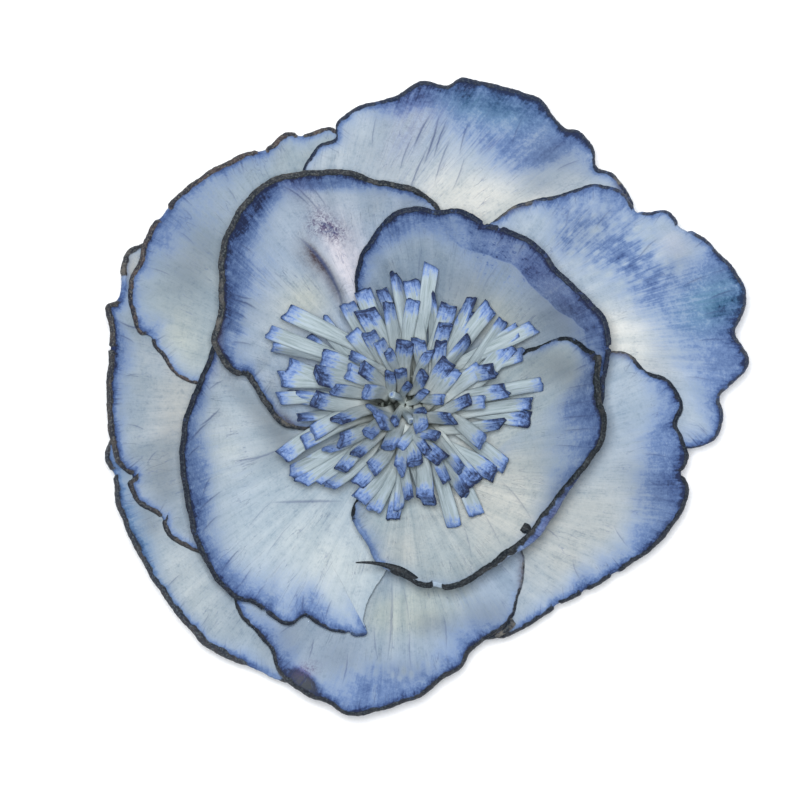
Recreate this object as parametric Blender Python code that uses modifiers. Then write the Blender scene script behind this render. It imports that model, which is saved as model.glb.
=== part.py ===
"""Peony head made of sola pith, lying on the flat underside of its core.

Eleven slices of pith, each with the plant's bark left on its rim, are glued as petals round
a turned pith core. They climb round it clockwise like a spiral stair, so each petal lies a
step above the one before it. Seven combs of cut pith stand on the core as the stamen tuft.
"""

import math
from collections import namedtuple

import bmesh
import bpy

MM = 0.001  # sizes below are in millimetres, and meshes are made in metres

PETAL_THICKNESS = 0.85
PETAL_CELLS = 10  # cells across a petal's grid, each way
OUTLINE_SAMPLES = 400  # points that a petal's smooth outline is measured in
LIFT_POWER = 4.0  # how close to the rim a lifted petal edge starts to rise

CORE_RADIUS = 6.0
FOOT_RADIUS = 8.0
FOOT_HEIGHT = 1.2
CORE_TOP = 9.8
CORE_SEGMENTS = 40
PETAL_ROOT_RADIUS = 7.0  # the bowl of every petal starts to rise here

FRINGE_SEAT = CORE_TOP + 0.35
BAND_HEIGHT = 2.0
STRIP_WIDTH = 2.0
STRIP_THICKNESS = 0.5
STRIP_STEPS = 3

Tier = namedtuple("Tier", "reach power slope")
OUTER = Tier(reach=45.0, power=1.6, slope=0.018)
MIDDLE = Tier(reach=33.0, power=1.7, slope=0.010)
INNER = Tier(reach=29.0, power=1.7, slope=0.008)

# A petal sits at `seat` over the ground where it leaves the core at `azimuth`, climbs by the
# tier's slope for each degree round the core, and rises by `rise` at the tier's reach. Its rim
# is a closed outline, counterclockwise: x, y and how far the edge there is lifted further.
# `roll` is where the rim leans back inward: azimuth, half width in degrees, and how far.
Petal = namedtuple("Petal", "name tier azimuth seat rise rim roll", defaults=(None,))

PETALS = (
    Petal("outer_petal_1", OUTER, 215, 2.8, 7.0, (
        (-44.3, -5.1, 0.4), (-44.9, -8.1, 0.8), (-43.6, -10.4, 1.2), (-43.1, -14.8, 1.8),
        (-41.6, -18.9, 2.2), (-39.3, -23.5, 2.4), (-36.4, -28.2, 2.4), (-33.2, -32.5, 2.2),
        (-29.2, -36.3, 1.8), (-24.2, -38.8, 1.2), (-18.4, -41.4, 0.4), (-14.0, -40.5, 0.0),
        (-11.5, -34.0, 0.0), (-7.0, -20.0, 0.0), (-2.2, -7.2, 0.0), (-5.9, -4.4, 0.0),
        (-7.3, 0.6, 0.0), (-20.0, 3.0, 0.0), (-33.0, 2.5, 0.0), (-41.0, 0.4, 0.0))),
    Petal("outer_petal_2", OUTER, 180, 3.5, 7.2, (
        (-39.6, 24.0, 0.6), (-41.8, 22.8, 1.4), (-42.6, 19.6, 2.2), (-43.0, 15.6, 2.8),
        (-44.7, 14.6, 3.2), (-44.0, 10.9, 3.4), (-44.5, 5.0, 3.4), (-44.6, 0.2, 3.2),
        (-44.1, -4.8, 2.6), (-42.9, -8.4, 1.8), (-40.7, -10.6, 1.2), (-41.2, -11.8, 1.0),
        (-39.8, -14.6, 0.8), (-36.5, -16.9, 0.6), (-35.2, -19.8, 0.4), (-30.3, -22.3, 0.2),
        (-25.0, -21.5, 0.0), (-14.0, -11.5, 0.0), (-6.6, -3.6, 0.0), (-7.4, 0.6, 0.0),
        (-5.9, 4.5, 0.0), (-14.0, 12.0, 0.0), (-27.0, 21.0, 0.0), (-35.0, 25.4, 0.0))),
    Petal("outer_petal_3", OUTER, 140, 4.1, 7.4, (
        (-10.8, 41.6, 0.2), (-14.6, 40.7, 0.6), (-17.8, 40.7, 1.0), (-20.7, 38.6, 1.2),
        (-24.2, 37.6, 1.6), (-28.9, 35.2, 1.8), (-32.9, 32.2, 2.0), (-36.3, 28.6, 2.2),
        (-39.1, 24.9, 2.2), (-39.8, 21.5, 2.2), (-41.1, 18.8, 2.0), (-41.2, 16.0, 1.8),
        (-39.9, 11.3, 1.2), (-37.8, 10.2, 0.8), (-37.0, 8.7, 0.6), (-33.8, 4.8, 0.2),
        (-30.9, 3.1, 0.0), (-25.0, 2.2, 0.0), (-14.0, 1.6, 0.0), (-7.4, 0.9, 0.0),
        (-5.6, 4.8, 0.0), (-2.1, 7.2, 0.0), (-4.0, 16.0, 0.0), (-5.5, 28.0, 0.0),
        (-7.0, 37.0, 0.0))),
    Petal("outer_petal_4", OUTER, 85, 4.4, 7.6, (
        (34.3, 29.3, 0.2), (33.3, 31.2, 0.4), (31.4, 34.6, 0.8), (28.7, 35.9, 1.0),
        (28.2, 38.7, 1.2), (25.9, 41.0, 1.2), (23.4, 41.6, 1.2), (20.7, 45.6, 1.4),
        (17.9, 47.0, 1.4), (13.0, 48.3, 1.6), (8.8, 49.0, 1.6), (6.1, 48.0, 1.6),
        (2.6, 48.6, 1.4), (0.0, 47.0, 1.4), (-3.0, 45.6, 1.2), (-6.8, 44.8, 1.0),
        (-10.0, 42.4, 0.8), (-10.5, 40.0, 0.6), (-13.0, 38.4, 0.4), (-15.1, 34.6, 0.2),
        (-15.0, 29.0, 0.0), (-10.5, 19.0, 0.0), (-3.8, 6.5, 0.0), (0.4, 7.4, 0.0),
        (4.9, 5.6, 0.0), (14.0, 13.0, 0.0), (25.0, 21.5, 0.0), (32.5, 26.5, 0.0))),
    Petal("outer_petal_5", OUTER, 25, 4.65, 7.8, (
        (42.6, -6.4, 0.2), (46.2, -5.1, 0.6), (47.6, -2.0, 0.8), (47.0, 0.8, 0.9),
        (48.3, 2.7, 1.0), (50.9, 5.2, 1.2), (51.2, 7.6, 1.2), (49.4, 10.4, 1.2),
        (50.4, 13.0, 1.4), (51.1, 15.6, 1.5), (50.5, 18.6, 1.5), (48.3, 21.5, 1.4),
        (44.9, 25.0, 1.2), (41.6, 26.6, 1.0), (39.3, 29.2, 1.0), (35.0, 29.0, 0.8),
        (31.8, 31.8, 0.8), (27.8, 32.9, 0.6), (22.9, 31.1, 0.4), (17.5, 30.5, 0.2),
        (13.0, 27.7, 0.0), (9.0, 23.0, 0.0), (5.5, 14.0, 0.0), (3.0, 7.0, 0.0),
        (6.6, 3.4, 0.0), (7.5, -0.8, 0.0), (18.0, -4.0, 0.0), (30.0, -6.5, 0.0),
        (37.5, -7.2, 0.0))),
    Petal("outer_petal_6", OUTER, -30, 5.0, 8.0, (
        (13.9, -34.8, 0.2), (17.8, -33.4, 0.4), (22.7, -30.0, 0.8), (28.2, -27.1, 1.0),
        (33.3, -24.0, 1.2), (37.8, -20.8, 1.4), (40.4, -17.8, 1.4), (42.3, -14.0, 1.4),
        (42.2, -11.8, 1.4), (41.3, -10.2, 1.2), (42.4, -7.6, 1.2), (41.8, -5.2, 1.2),
        (40.7, -3.0, 1.0), (41.6, -0.4, 1.0), (40.9, 2.2, 0.8), (38.8, 4.2, 0.6),
        (36.2, 4.9, 0.4), (34.0, 7.4, 0.2), (30.2, 8.2, 0.0), (22.0, 8.0, 0.0),
        (13.0, 4.8, 0.0), (7.3, 1.9, 0.0), (6.5, -3.6, 0.0), (3.1, -6.9, 0.0),
        (5.0, -16.0, 0.0), (8.0, -27.0, 0.0), (10.0, -33.0, 0.0))),
    Petal("outer_petal_7", OUTER, -95, 5.15, 8.2, (
        (-25.6, -29.3, 0.2), (-24.6, -32.0, 0.4), (-22.0, -34.3, 0.6), (-20.0, -37.0, 0.8),
        (-18.6, -40.2, 1.0), (-15.5, -42.8, 1.2), (-11.2, -44.8, 1.4), (-8.0, -46.4, 1.5),
        (-3.3, -45.5, 1.5), (2.4, -43.5, 1.4), (5.2, -41.3, 1.2), (8.3, -39.3, 1.0),
        (10.0, -36.3, 0.9), (13.4, -34.0, 0.8), (15.5, -32.5, 0.6), (17.1, -28.8, 0.4),
        (17.9, -25.0, 0.2), (17.4, -21.5, 0.0), (14.0, -16.0, 0.0), (9.5, -10.0, 0.0),
        (5.6, -5.0, 0.0), (-0.6, -7.5, 0.0), (-4.7, -5.9, 0.0), (-12.0, -14.0, 0.0),
        (-20.0, -22.8, 0.0), (-24.6, -26.6, 0.0))),
    Petal("middle_petal_1", MIDDLE, 213, 6.4, 5.5, (
        (-28.4, 8.6, 2.0), (-29.9, 5.7, 3.2), (-31.4, 2.7, 4.2), (-32.8, -1.0, 5.2),
        (-33.6, -5.5, 6.0), (-33.6, -10.2, 6.0), (-32.7, -14.9, 5.6), (-32.0, -19.0, 4.8),
        (-30.4, -22.7, 3.8), (-28.5, -25.7, 2.8), (-25.6, -28.7, 1.8), (-22.4, -29.7, 1.2),
        (-19.5, -32.0, 0.8), (-17.0, -32.8, 0.6), (-15.0, -31.6, 0.4), (-12.7, -32.9, 0.3),
        (-9.1, -34.0, 0.2), (-5.7, -34.4, 0.2), (-6.0, -32.0, 0.1), (-4.7, -28.2, 0.0),
        (-2.6, -25.0, 0.0), (-1.0, -17.0, 0.0), (-1.5, -7.3, 0.0), (-6.2, -4.1, 0.0),
        (-7.1, 2.0, 0.0), (-14.0, 6.0, 0.0), (-22.0, 9.0, 0.4), (-26.4, 10.0, 1.0))),
    Petal("middle_petal_2", MIDDLE, 135, 7.0, 9.0, (
        (3.4, 31.0, 1.5), (0.9, 32.8, 2.2), (-4.0, 34.1, 2.8), (-8.8, 35.1, 3.2),
        (-13.2, 34.7, 3.4), (-18.0, 34.1, 3.6), (-21.7, 32.7, 3.8), (-24.6, 29.6, 4.2),
        (-26.7, 25.2, 4.4), (-27.8, 21.1, 4.6), (-27.4, 18.0, 4.6), (-27.7, 13.0, 4.6),
        (-28.6, 9.6, 4.4), (-27.2, 6.5, 4.2), (-25.2, 4.5, 4.0), (-23.6, 4.0, 3.8),
        (-20.9, 0.2, 3.2), (-19.0, -2.1, 2.6), (-16.6, -3.6, 2.0), (-11.5, -3.4, 0.5),
        (-7.2, -1.8, 0.0), (-5.8, 4.5, 0.0), (-1.0, 7.4, 0.0), (2.0, 15.0, 0.0),
        (5.0, 23.0, 0.2), (5.8, 28.0, 0.8))),
    Petal("inner_petal_1", INNER, 55, 7.7, 12.0, (
        (29.7, 0.0, 0.2), (30.4, 3.8, 0.6), (31.0, 9.0, 1.2), (30.0, 12.6, 1.6),
        (27.0, 16.0, 1.8), (23.2, 19.8, 1.8), (19.4, 24.0, 1.6), (15.4, 26.1, 1.6),
        (11.8, 27.6, 1.4), (8.4, 29.2, 1.4), (4.6, 29.3, 1.4), (0.9, 29.7, 1.6),
        (-2.4, 28.3, 2.0), (-5.1, 24.9, 2.4), (-7.0, 21.5, 2.4), (-7.4, 17.7, 2.0),
        (-6.0, 12.0, 0.6), (-2.7, 6.9, 0.0), (4.1, 6.1, 0.0), (7.4, 0.2, 0.0),
        (14.0, -3.4, 0.0), (22.5, -4.4, 0.0), (28.0, -3.0, 0.0))),
    Petal("inner_petal_2", INNER, -40, 8.7, 13.5, (
        (-8.0, -16.3, 1.6), (-6.3, -20.0, 2.0), (-3.8, -23.4, 2.2), (0.2, -25.7, 2.4),
        (2.9, -27.1, 2.4), (7.0, -27.3, 2.6), (10.8, -25.3, 3.0), (14.2, -22.7, 3.6),
        (18.2, -19.4, 4.0), (21.4, -14.9, 4.2), (23.8, -12.0, 4.0), (26.8, -9.1, 3.4),
        (29.2, -6.0, 2.8), (30.0, -2.3, 2.4), (29.2, 1.2, 2.2), (29.2, 4.5, 2.0),
        (28.8, 7.4, 1.8), (27.2, 8.6, 1.6), (24.6, 10.0, 1.6), (21.8, 9.5, 1.4),
        (17.9, 8.0, 1.0), (12.5, 6.2, 0.2), (6.6, 3.6, 0.0), (7.5, -0.6, 0.0),
        (5.6, -4.8, 0.0), (2.2, -7.1, 0.0), (-1.6, -7.3, 0.0), (-5.4, -11.6, 0.4)),
        roll=(-43, 32, 3.1)),
)

# Each comb stands at `radius` from the axis and has `strips` cut in it, `length` long, whose
# tips spread to `spread` from the axis.
Comb = namedtuple("Comb", "radius strips spread length")
COMBS = (
    Comb(1.1, 3, 2.9, 15.5), Comb(2.4, 6, 5.4, 15.5), Comb(3.4, 8, 8.0, 15.5),
    Comb(4.4, 11, 10.8, 15.0), Comb(5.4, 14, 13.6, 14.5), Comb(6.4, 17, 16.5, 14.0),
    Comb(7.45, 20, 19.4, 13.5),
)

PITH_COLOR = (0.62, 0.66, 0.68)
PITH_BLUE_COLOR = (0.27, 0.38, 0.62)
STRIP_COLOR = (0.36, 0.45, 0.68)
CORE_COLOR = (0.66, 0.62, 0.50)


def start_scene(title):
    """Clear the scene and return a new collection for the flower."""
    for item in list(bpy.data.objects):
        bpy.data.objects.remove(item)
    scene = bpy.context.scene
    scene.unit_settings.system = "METRIC"
    collection = bpy.data.collections.new(title)
    scene.collection.children.link(collection)
    return collection


def make_material(title, color, roughness):
    """A dull plant material, with no metal in it."""
    material = bpy.data.materials.new(title)
    material.use_nodes = True
    shader = material.node_tree.nodes["Principled BSDF"]
    shader.inputs["Base Color"].default_value = (*color, 1.0)
    shader.inputs["Roughness"].default_value = roughness
    shader.inputs["Metallic"].default_value = 0.0
    return material


def link_mesh(mesh_data, title, material, collection):
    """Turn a bmesh in millimetres into a smooth-shaded object in metres."""
    bmesh.ops.scale(mesh_data, vec=(MM, MM, MM), verts=mesh_data.verts)
    mesh = bpy.data.meshes.new(title)
    mesh_data.to_mesh(mesh)
    mesh_data.free()
    mesh.shade_smooth()
    mesh.materials.append(material)
    item = bpy.data.objects.new(title, mesh)
    collection.objects.link(item)
    return item


def add_thickness(item, thickness):
    """Give a sheet its thickness, half on each side."""
    solidify = item.modifiers.new("Thickness", "SOLIDIFY")
    solidify.thickness = thickness * MM
    solidify.offset = 0.0
    solidify.use_even_offset = True


def blend(a, b, c, d, t):
    """A point between b and c on the smooth curve that passes through all four."""
    return tuple(
        0.5 * (2 * q + (r - p) * t + (2 * p - 5 * q + 4 * r - s) * t * t
               + (3 * q - p - 3 * r + s) * t ** 3)
        for p, q, r, s in zip(a, b, c, d)
    )


def closed_outline(points):
    """A closed curve through the points, as OUTLINE_SAMPLES points equally far apart."""
    count = len(points)
    fine = []
    for i in range(count):
        corners = [points[(i + k) % count] for k in (-1, 0, 1, 2)]
        fine += [blend(*corners, step / 24) for step in range(24)]
    fine.append(fine[0])
    walked = [0.0]
    for a, b in zip(fine, fine[1:]):
        walked.append(walked[-1] + math.dist(a[:2], b[:2]))
    outline = []
    at = 0
    for i in range(OUTLINE_SAMPLES):
        target = walked[-1] * i / OUTLINE_SAMPLES
        while walked[at + 1] < target:
            at += 1
        t = (target - walked[at]) / (walked[at + 1] - walked[at])
        outline.append(tuple(p + (q - p) * t for p, q in zip(fine[at], fine[at + 1])))
    return outline


def turn_between(azimuth, x, y):
    """Degrees from an azimuth round the core to a place, from -180 to 180."""
    return (math.degrees(math.atan2(y, x)) - azimuth + 180) % 360 - 180


def bowl_height(petal, x, y):
    """Height of a petal's middle over a place, before its edge is lifted."""
    tier = petal.tier
    out = max(math.hypot(x, y) - PETAL_ROOT_RADIUS, 0.0) / (tier.reach - PETAL_ROOT_RADIUS)
    climb = tier.slope * turn_between(petal.azimuth, x, y)
    return petal.seat + climb + petal.rise * out ** tier.power


def petal_point(petal, centre, edge, part_out):
    """The petal's point this part of the way from its centre to a point of its edge."""
    x = centre[0] + (edge[0] - centre[0]) * part_out
    y = centre[1] + (edge[1] - centre[1]) * part_out
    radius = math.hypot(*edge[:2])
    if petal.roll and radius > petal.tier.reach / 2:
        azimuth, half_width, amount = petal.roll
        share = max(0.0, 1 - (turn_between(azimuth, *edge[:2]) / half_width) ** 2)
        push = amount * share * math.sin(math.pi * part_out ** 3)
        x += push * edge[0] / radius
        y += push * edge[1] / radius
    return x, y, bowl_height(petal, x, y) + edge[2] * part_out ** LIFT_POWER


def add_petal(petal, material, collection):
    """One slice of pith: a square grid drawn out to the petal's outline, then thickened."""
    outline = closed_outline(petal.rim)
    centre = [sum(point[axis] for point in outline) / OUTLINE_SAMPLES for axis in (0, 1)]
    sheet = bmesh.new()
    bmesh.ops.create_grid(sheet, x_segments=PETAL_CELLS, y_segments=PETAL_CELLS, size=1.0)
    for vert in sheet.verts:
        u, v = vert.co.x, vert.co.y
        part_out = max(abs(u), abs(v))
        if part_out < 1e-6:
            around = 0.0
        elif abs(v) == part_out:
            around = 1 - u / part_out if v > 0 else 5 + u / part_out
        else:
            around = 3 - v / part_out if u < 0 else 7 + v / part_out
        edge = outline[round(around / 8 * OUTLINE_SAMPLES) % OUTLINE_SAMPLES]
        vert.co = petal_point(petal, centre, edge, part_out)
    item = link_mesh(sheet, petal.name, material, collection)
    add_thickness(item, PETAL_THICKNESS)


def strip_path(comb):
    """Out and up steps of a strip: it leaves the band leaning and bends on outward."""
    lean = math.asin((comb.spread - comb.radius) / comb.length)
    step = comb.length / STRIP_STEPS
    path = [(comb.radius, 0.0), (comb.radius, BAND_HEIGHT)]
    for i in range(STRIP_STEPS):
        angle = lean * (0.65 + 0.7 * (i + 0.5) / STRIP_STEPS)
        out, up = path[-1]
        path.append((out + step * math.sin(angle), up + step * math.cos(angle)))
    return path


def add_comb(comb, title, material, collection):
    """A comb of cut pith bent into a ring: a low band, with flat strips rising out of it."""
    sheet = bmesh.new()
    path = strip_path(comb)
    edges = []
    for i in range(comb.strips):
        azimuth = 2 * math.pi * i / comb.strips
        for side in (-0.5, 0.5):
            edges.append([
                sheet.verts.new((
                    out * math.cos(azimuth) - side * STRIP_WIDTH * math.sin(azimuth),
                    out * math.sin(azimuth) + side * STRIP_WIDTH * math.cos(azimuth),
                    FRINGE_SEAT + up,
                ))
                for out, up in path
            ])
    for i in range(0, len(edges), 2):
        left, right, following = edges[i], edges[i + 1], edges[(i + 2) % len(edges)]
        sheet.faces.new((right[0], following[0], following[1], right[1]))
        for row in range(len(path) - 1):
            sheet.faces.new((left[row], right[row], right[row + 1], left[row + 1]))
    item = link_mesh(sheet, title, material, collection)
    add_thickness(item, STRIP_THICKNESS)


def add_core(material, collection):
    """The turned core: a column with a broad foot, whose flat underside the flower rests on."""
    profile = bmesh.new()
    corners = (
        (0.0, 0.0), (FOOT_RADIUS, 0.0), (FOOT_RADIUS, FOOT_HEIGHT * 0.7),
        (FOOT_RADIUS - 0.6, FOOT_HEIGHT), (CORE_RADIUS, FOOT_HEIGHT),
        (CORE_RADIUS, CORE_TOP - 0.4), (CORE_RADIUS - 0.4, CORE_TOP), (0.0, CORE_TOP),
    )
    points = [profile.verts.new((out, 0.0, up)) for out, up in corners]
    for a, b in zip(points, points[1:]):
        profile.edges.new((a, b))
    item = link_mesh(profile, "pith_core", material, collection)
    screw = item.modifiers.new("Turning", "SCREW")
    screw.steps = CORE_SEGMENTS
    screw.render_steps = CORE_SEGMENTS
    screw.use_merge_vertices = True
    screw.merge_threshold = 0.00001
    screw.use_normal_calculate = True
    screw.use_smooth_shade = False


flower = start_scene("peony_flower")
pith = make_material("dyed_pith", PITH_COLOR, 0.8)
inner_pith = make_material("dyed_pith_blue", PITH_BLUE_COLOR, 0.8)
strips = make_material("fringe_pith", STRIP_COLOR, 0.85)
core_pith = make_material("core_pith", CORE_COLOR, 0.85)

add_core(core_pith, flower)
for row in PETALS:
    add_petal(row, inner_pith if row.tier is INNER else pith, flower)
for number, row in enumerate(COMBS, 1):
    add_comb(row, f"stamen_comb_{number}", strips, flower)
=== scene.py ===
"""The looks of a peony head made of sola pith, lying on the trimmed foot of its core.

The flower is cut from the stem of a marsh plant: white, spongy pith inside a thin dark bark.
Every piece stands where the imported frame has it. Sizes here are in millimetres unless a line
says otherwise, and meshes are made in metres.
"""

from functools import partial

import bpy
import numpy as np
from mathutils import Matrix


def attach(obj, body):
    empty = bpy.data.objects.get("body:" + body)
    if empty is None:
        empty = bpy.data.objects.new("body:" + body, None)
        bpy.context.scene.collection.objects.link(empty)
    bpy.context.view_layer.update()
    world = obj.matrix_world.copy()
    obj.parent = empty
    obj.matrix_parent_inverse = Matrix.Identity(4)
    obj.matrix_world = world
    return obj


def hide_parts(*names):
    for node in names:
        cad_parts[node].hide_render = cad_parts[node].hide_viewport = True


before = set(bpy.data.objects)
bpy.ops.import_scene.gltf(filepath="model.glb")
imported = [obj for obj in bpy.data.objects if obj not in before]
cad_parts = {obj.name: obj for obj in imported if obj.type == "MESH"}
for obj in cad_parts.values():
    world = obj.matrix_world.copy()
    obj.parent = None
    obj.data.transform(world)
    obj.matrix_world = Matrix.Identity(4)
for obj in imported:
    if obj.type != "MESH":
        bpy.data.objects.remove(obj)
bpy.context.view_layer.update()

# ---------------------------------------------------------------------------------------
# Camera, lights and table. The flower is looked at from straight above through a long
# lens, on a white table under a soft lamp and a white sky, so that its shadows are faint.
# ---------------------------------------------------------------------------------------
MM = 0.001
CAMERA_PLACE = (-0.75, 0.75, 1215)
LENS = 360
LAMP_PLACE = (-15, 45, 900)
LAMP_SIZE = 150
LAMP_POWER = 9.1
SKY_COLOUR = "#F7F9FC"
SKY_STRENGTH = 0.5
TABLE_HALF_SIZE = 900


def linear(hex_colour):
    """An sRGB hex colour as linear red, green, blue and an alpha of 1: each channel is its
    twelfth near black, and a power of 2.4 of its shifted value above that."""
    channels = [int(hex_colour[i:i + 2], 16) / 255 for i in (1, 3, 5)]
    return (*(c / 12.92 if c <= 0.04045 else ((c + 0.055) / 1.055) ** 2.4
              for c in channels), 1.0)


def node(tree, kind, inputs=(), stops=(), **settings):
    """Adds a node with its settings and links. The kind may end in a dot and an operation.
    Inputs are a dict by name or a tuple in order, of those in use: each is a value, a socket,
    or a node, which is linked by its first output in use. Stops are (place, hex colour)."""
    kind, _, operation = kind.partition(".")
    made = tree.nodes.new("ShaderNode" + kind)
    if operation:
        made.operation = operation
    for setting, value in settings.items():
        setattr(made, setting, value)
    sockets = [socket for socket in made.inputs if socket.enabled]
    if isinstance(inputs, dict):
        sockets = [next(s for s in sockets if s.name == name) for name in inputs]
        inputs = inputs.values()
    for socket, value in zip(sockets, inputs):
        if isinstance(value, bpy.types.Node):
            value = next(s for s in value.outputs if s.enabled)
        if isinstance(value, bpy.types.NodeSocket):
            tree.links.new(value, socket)
        else:
            socket.default_value = value
    while stops and len(made.color_ramp.elements) < len(stops):
        made.color_ramp.elements.new(1.0)
    for i, (place, colour) in enumerate(stops):
        made.color_ramp.elements[i].position = place
        made.color_ramp.elements[i].color = linear(colour)
    return made


def new_material(title):
    """An empty material, and the function that adds a node to it."""
    material = bpy.data.materials.new(title)
    material.use_nodes = True
    material.node_tree.nodes.clear()
    return material, partial(node, material.node_tree)


camera_data = bpy.data.cameras.new("camera")
camera_data.lens = LENS
camera_data.clip_end = 10.0
camera = bpy.data.objects.new("camera", camera_data)
camera.location = [place * MM for place in CAMERA_PLACE]
bpy.context.collection.objects.link(camera)
bpy.context.scene.camera = camera
bpy.context.scene.view_settings.view_transform = "Standard"

lamp_data = bpy.data.lights.new("soft_lamp", "AREA")
lamp_data.size = LAMP_SIZE * MM
lamp_data.energy = LAMP_POWER
lamp = bpy.data.objects.new("soft_lamp", lamp_data)
lamp.location = [place * MM for place in LAMP_PLACE]
lamp.rotation_euler = (-lamp.location).to_track_quat("-Z", "Y").to_euler()
bpy.context.collection.objects.link(lamp)

sky = bpy.data.worlds.new("white_room")
sky.use_nodes = True
sky.node_tree.nodes["Background"].inputs["Color"].default_value = linear(SKY_COLOUR)
sky.node_tree.nodes["Background"].inputs["Strength"].default_value = SKY_STRENGTH
bpy.context.scene.world = sky

corner = TABLE_HALF_SIZE * MM
table_mesh = bpy.data.meshes.new("table_top")
table_mesh.from_pydata(
    [(-corner, -corner, 0), (corner, -corner, 0), (corner, corner, 0), (-corner, corner, 0)],
    [], [(0, 1, 2, 3)])
table = bpy.data.objects.new("table_top", table_mesh)
bpy.context.collection.objects.link(table)

# Matt white paper: no gloss, with a tooth too fine to see as more than a softness.
table_paper, add = new_material("matt_white_paper")
tooth = add("TexNoise", {"Vector": add("TexCoord").outputs["Object"], "Scale": 2500})
paper_shade = add("ValToRGB", (tooth,), stops=((0.3, "#FAFAFA"), (0.7, "#FFFFFF")))
add("OutputMaterial", (add("BsdfPrincipled", {
    "Base Color": paper_shade, "Roughness": 0.95, "Specular IOR Level": 0.2}),))
table_mesh.materials.append(table_paper)

# ---------------------------------------------------------------------------------------
# The core: a stub of peeled pith that the petals are glued round. It is turned by hand
# against a blade, so its side is faintly lobed, and its foot is trimmed flat to lie on.
# ---------------------------------------------------------------------------------------
CORE_PROFILE = (  # distance from the axis, and height
    (0, 9.8), (3, 9.82), (5.3, 9.75), (5.75, 9.6), (6, 9.3), (6.02, 8), (5.95, 6.2),
    (6, 4.2), (5.98, 2.4), (6.05, 1.5), (6.5, 1.25), (7.3, 1.2), (7.75, 1), (8, 0.7),
    (8, 0.25), (7.9, 0.06), (7.6, 0), (4, 0), (0, 0),
)
CORE_COLUMNS = 160
CORE_ROWS = 8  # rows between one corner of the profile and the next
CORE_LOBES = ((3, 0.7, 0.006), (7, 2.0, 0.004))  # how many round the side, phase, depth
TOP_SHADE_HEIGHTS = (8.5, 9.5)


def closed_rings(ring_count, column_count):
    """Faces of a closed skin whose first and last points are its poles, with ring_count
    rings of column_count points between them: a fan, strips of quads and a fan. Rings run
    down from the top pole, and columns counterclockwise seen from it, to face outward."""
    column = np.arange(column_count)
    following = np.roll(column, -1)
    start = 1 + column_count * np.arange(ring_count - 1)[:, None]
    quads = np.stack([start + column, start + column_count + column,
                      start + column_count + following, start + following], axis=-1)
    last = 1 + column_count * (ring_count - 1)
    top_fan = np.stack([0 * column, 1 + column, 1 + following], axis=-1)
    bottom_fan = np.stack([last + column, 0 * column + last + column_count, last + following],
                          axis=-1)
    return quads.reshape(-1, 4).tolist() + top_fan.tolist() + bottom_fan.tolist()


def moved_on(faces, first):
    """The same faces for points that start at place `first` in the mesh."""
    return [tuple(first + corner for corner in face) for face in faces]


def make_piece(title, points, faces, attributes, material, stands_for):
    """A smooth piece from points in millimetres. Each attribute holds three numbers a
    point. The piece rides with the flower and stands in for a node of the frame."""
    mesh = bpy.data.meshes.new(title)
    mesh.from_pydata((points * MM).tolist(), [], faces)
    for name, values in attributes.items():
        layer = mesh.attributes.new(name, "FLOAT_VECTOR", "POINT")
        layer.data.foreach_set("vector", np.ascontiguousarray(values, np.float32).ravel())
    mesh.shade_smooth()
    mesh.materials.append(material)
    piece = bpy.data.objects.new(title, mesh)
    bpy.context.collection.objects.link(piece)
    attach(piece, "root")
    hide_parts(stands_for)


def turned_points(profile, rows, columns):
    """Points of a turned solid: the profile is split into rows between corners and spun
    round the axis. Its side shrinks in lobes, each a sine raised to run from 0 to 2."""
    corners = np.array(profile)
    place = np.arange((len(corners) - 1) * rows + 1) / rows
    out, up = (np.interp(place, np.arange(len(corners)), side) for side in corners.T)
    turn = 2 * np.pi * np.arange(columns) / columns
    lobes = 1 - sum(depth * (1 + np.sin(count * turn + phase))
                    for count, phase, depth in CORE_LOBES)
    out_here = out[1:-1, None] * lobes
    rings = np.stack([out_here * np.cos(turn), out_here * np.sin(turn),
                      np.broadcast_to(up[1:-1, None], (len(up) - 2, columns))], axis=-1)
    return np.concatenate([[[0, 0, up[0]]], rings.reshape(-1, 3), [[0, 0, up[-1]]]])


# Peeled pith, undyed: cream, matt and spongy, with rays from the middle to the rind. Its top,
# deep under the combs, is painted dark as shade.
peeled_pith, add = new_material("peeled_pith")
place = add("TexCoord").outputs["Object"]
cells = add("TexVoronoi", {"Vector": place, "Scale": 1600})
rays = add("TexNoise", {"Vector": add("Mapping", {"Vector": place, "Scale": (900, 900, 120)}),
                        "Scale": 1, "Detail": 3})
blotch = add("TexNoise", {"Vector": place, "Scale": 260, "Detail": 3})
core_colour = add("ValToRGB", (add("Math.MULTIPLY", (rays, blotch)),), stops=(
    (0.12, "#B7AE93"), (0.25, "#CFC9B2"), (0.4, "#DAD6C6")))
painted_top_shade = add("MapRange", (add("SeparateXYZ", (place,)).outputs["Z"],
                         *(height * MM for height in TOP_SHADE_HEIGHTS)))
core_colour = add("Mix", (painted_top_shade, core_colour, linear("#3E4441")), data_type="RGBA")
bump = add("Bump", {"Height": add("Math.ADD", (cells, rays)), "Distance": 0.06 * MM,
                    "Strength": 0.8})
add("OutputMaterial", (add("BsdfPrincipled", {
    "Base Color": core_colour, "Roughness": 0.88, "Specular IOR Level": 0.25,
    "Normal": bump}),))

core_points = turned_points(CORE_PROFILE, CORE_ROWS, CORE_COLUMNS)
core_faces = closed_rings((len(core_points) - 2) // CORE_COLUMNS, CORE_COLUMNS)
make_piece("core_stub", core_points, core_faces, {}, peeled_pith, "pith_core")

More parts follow.
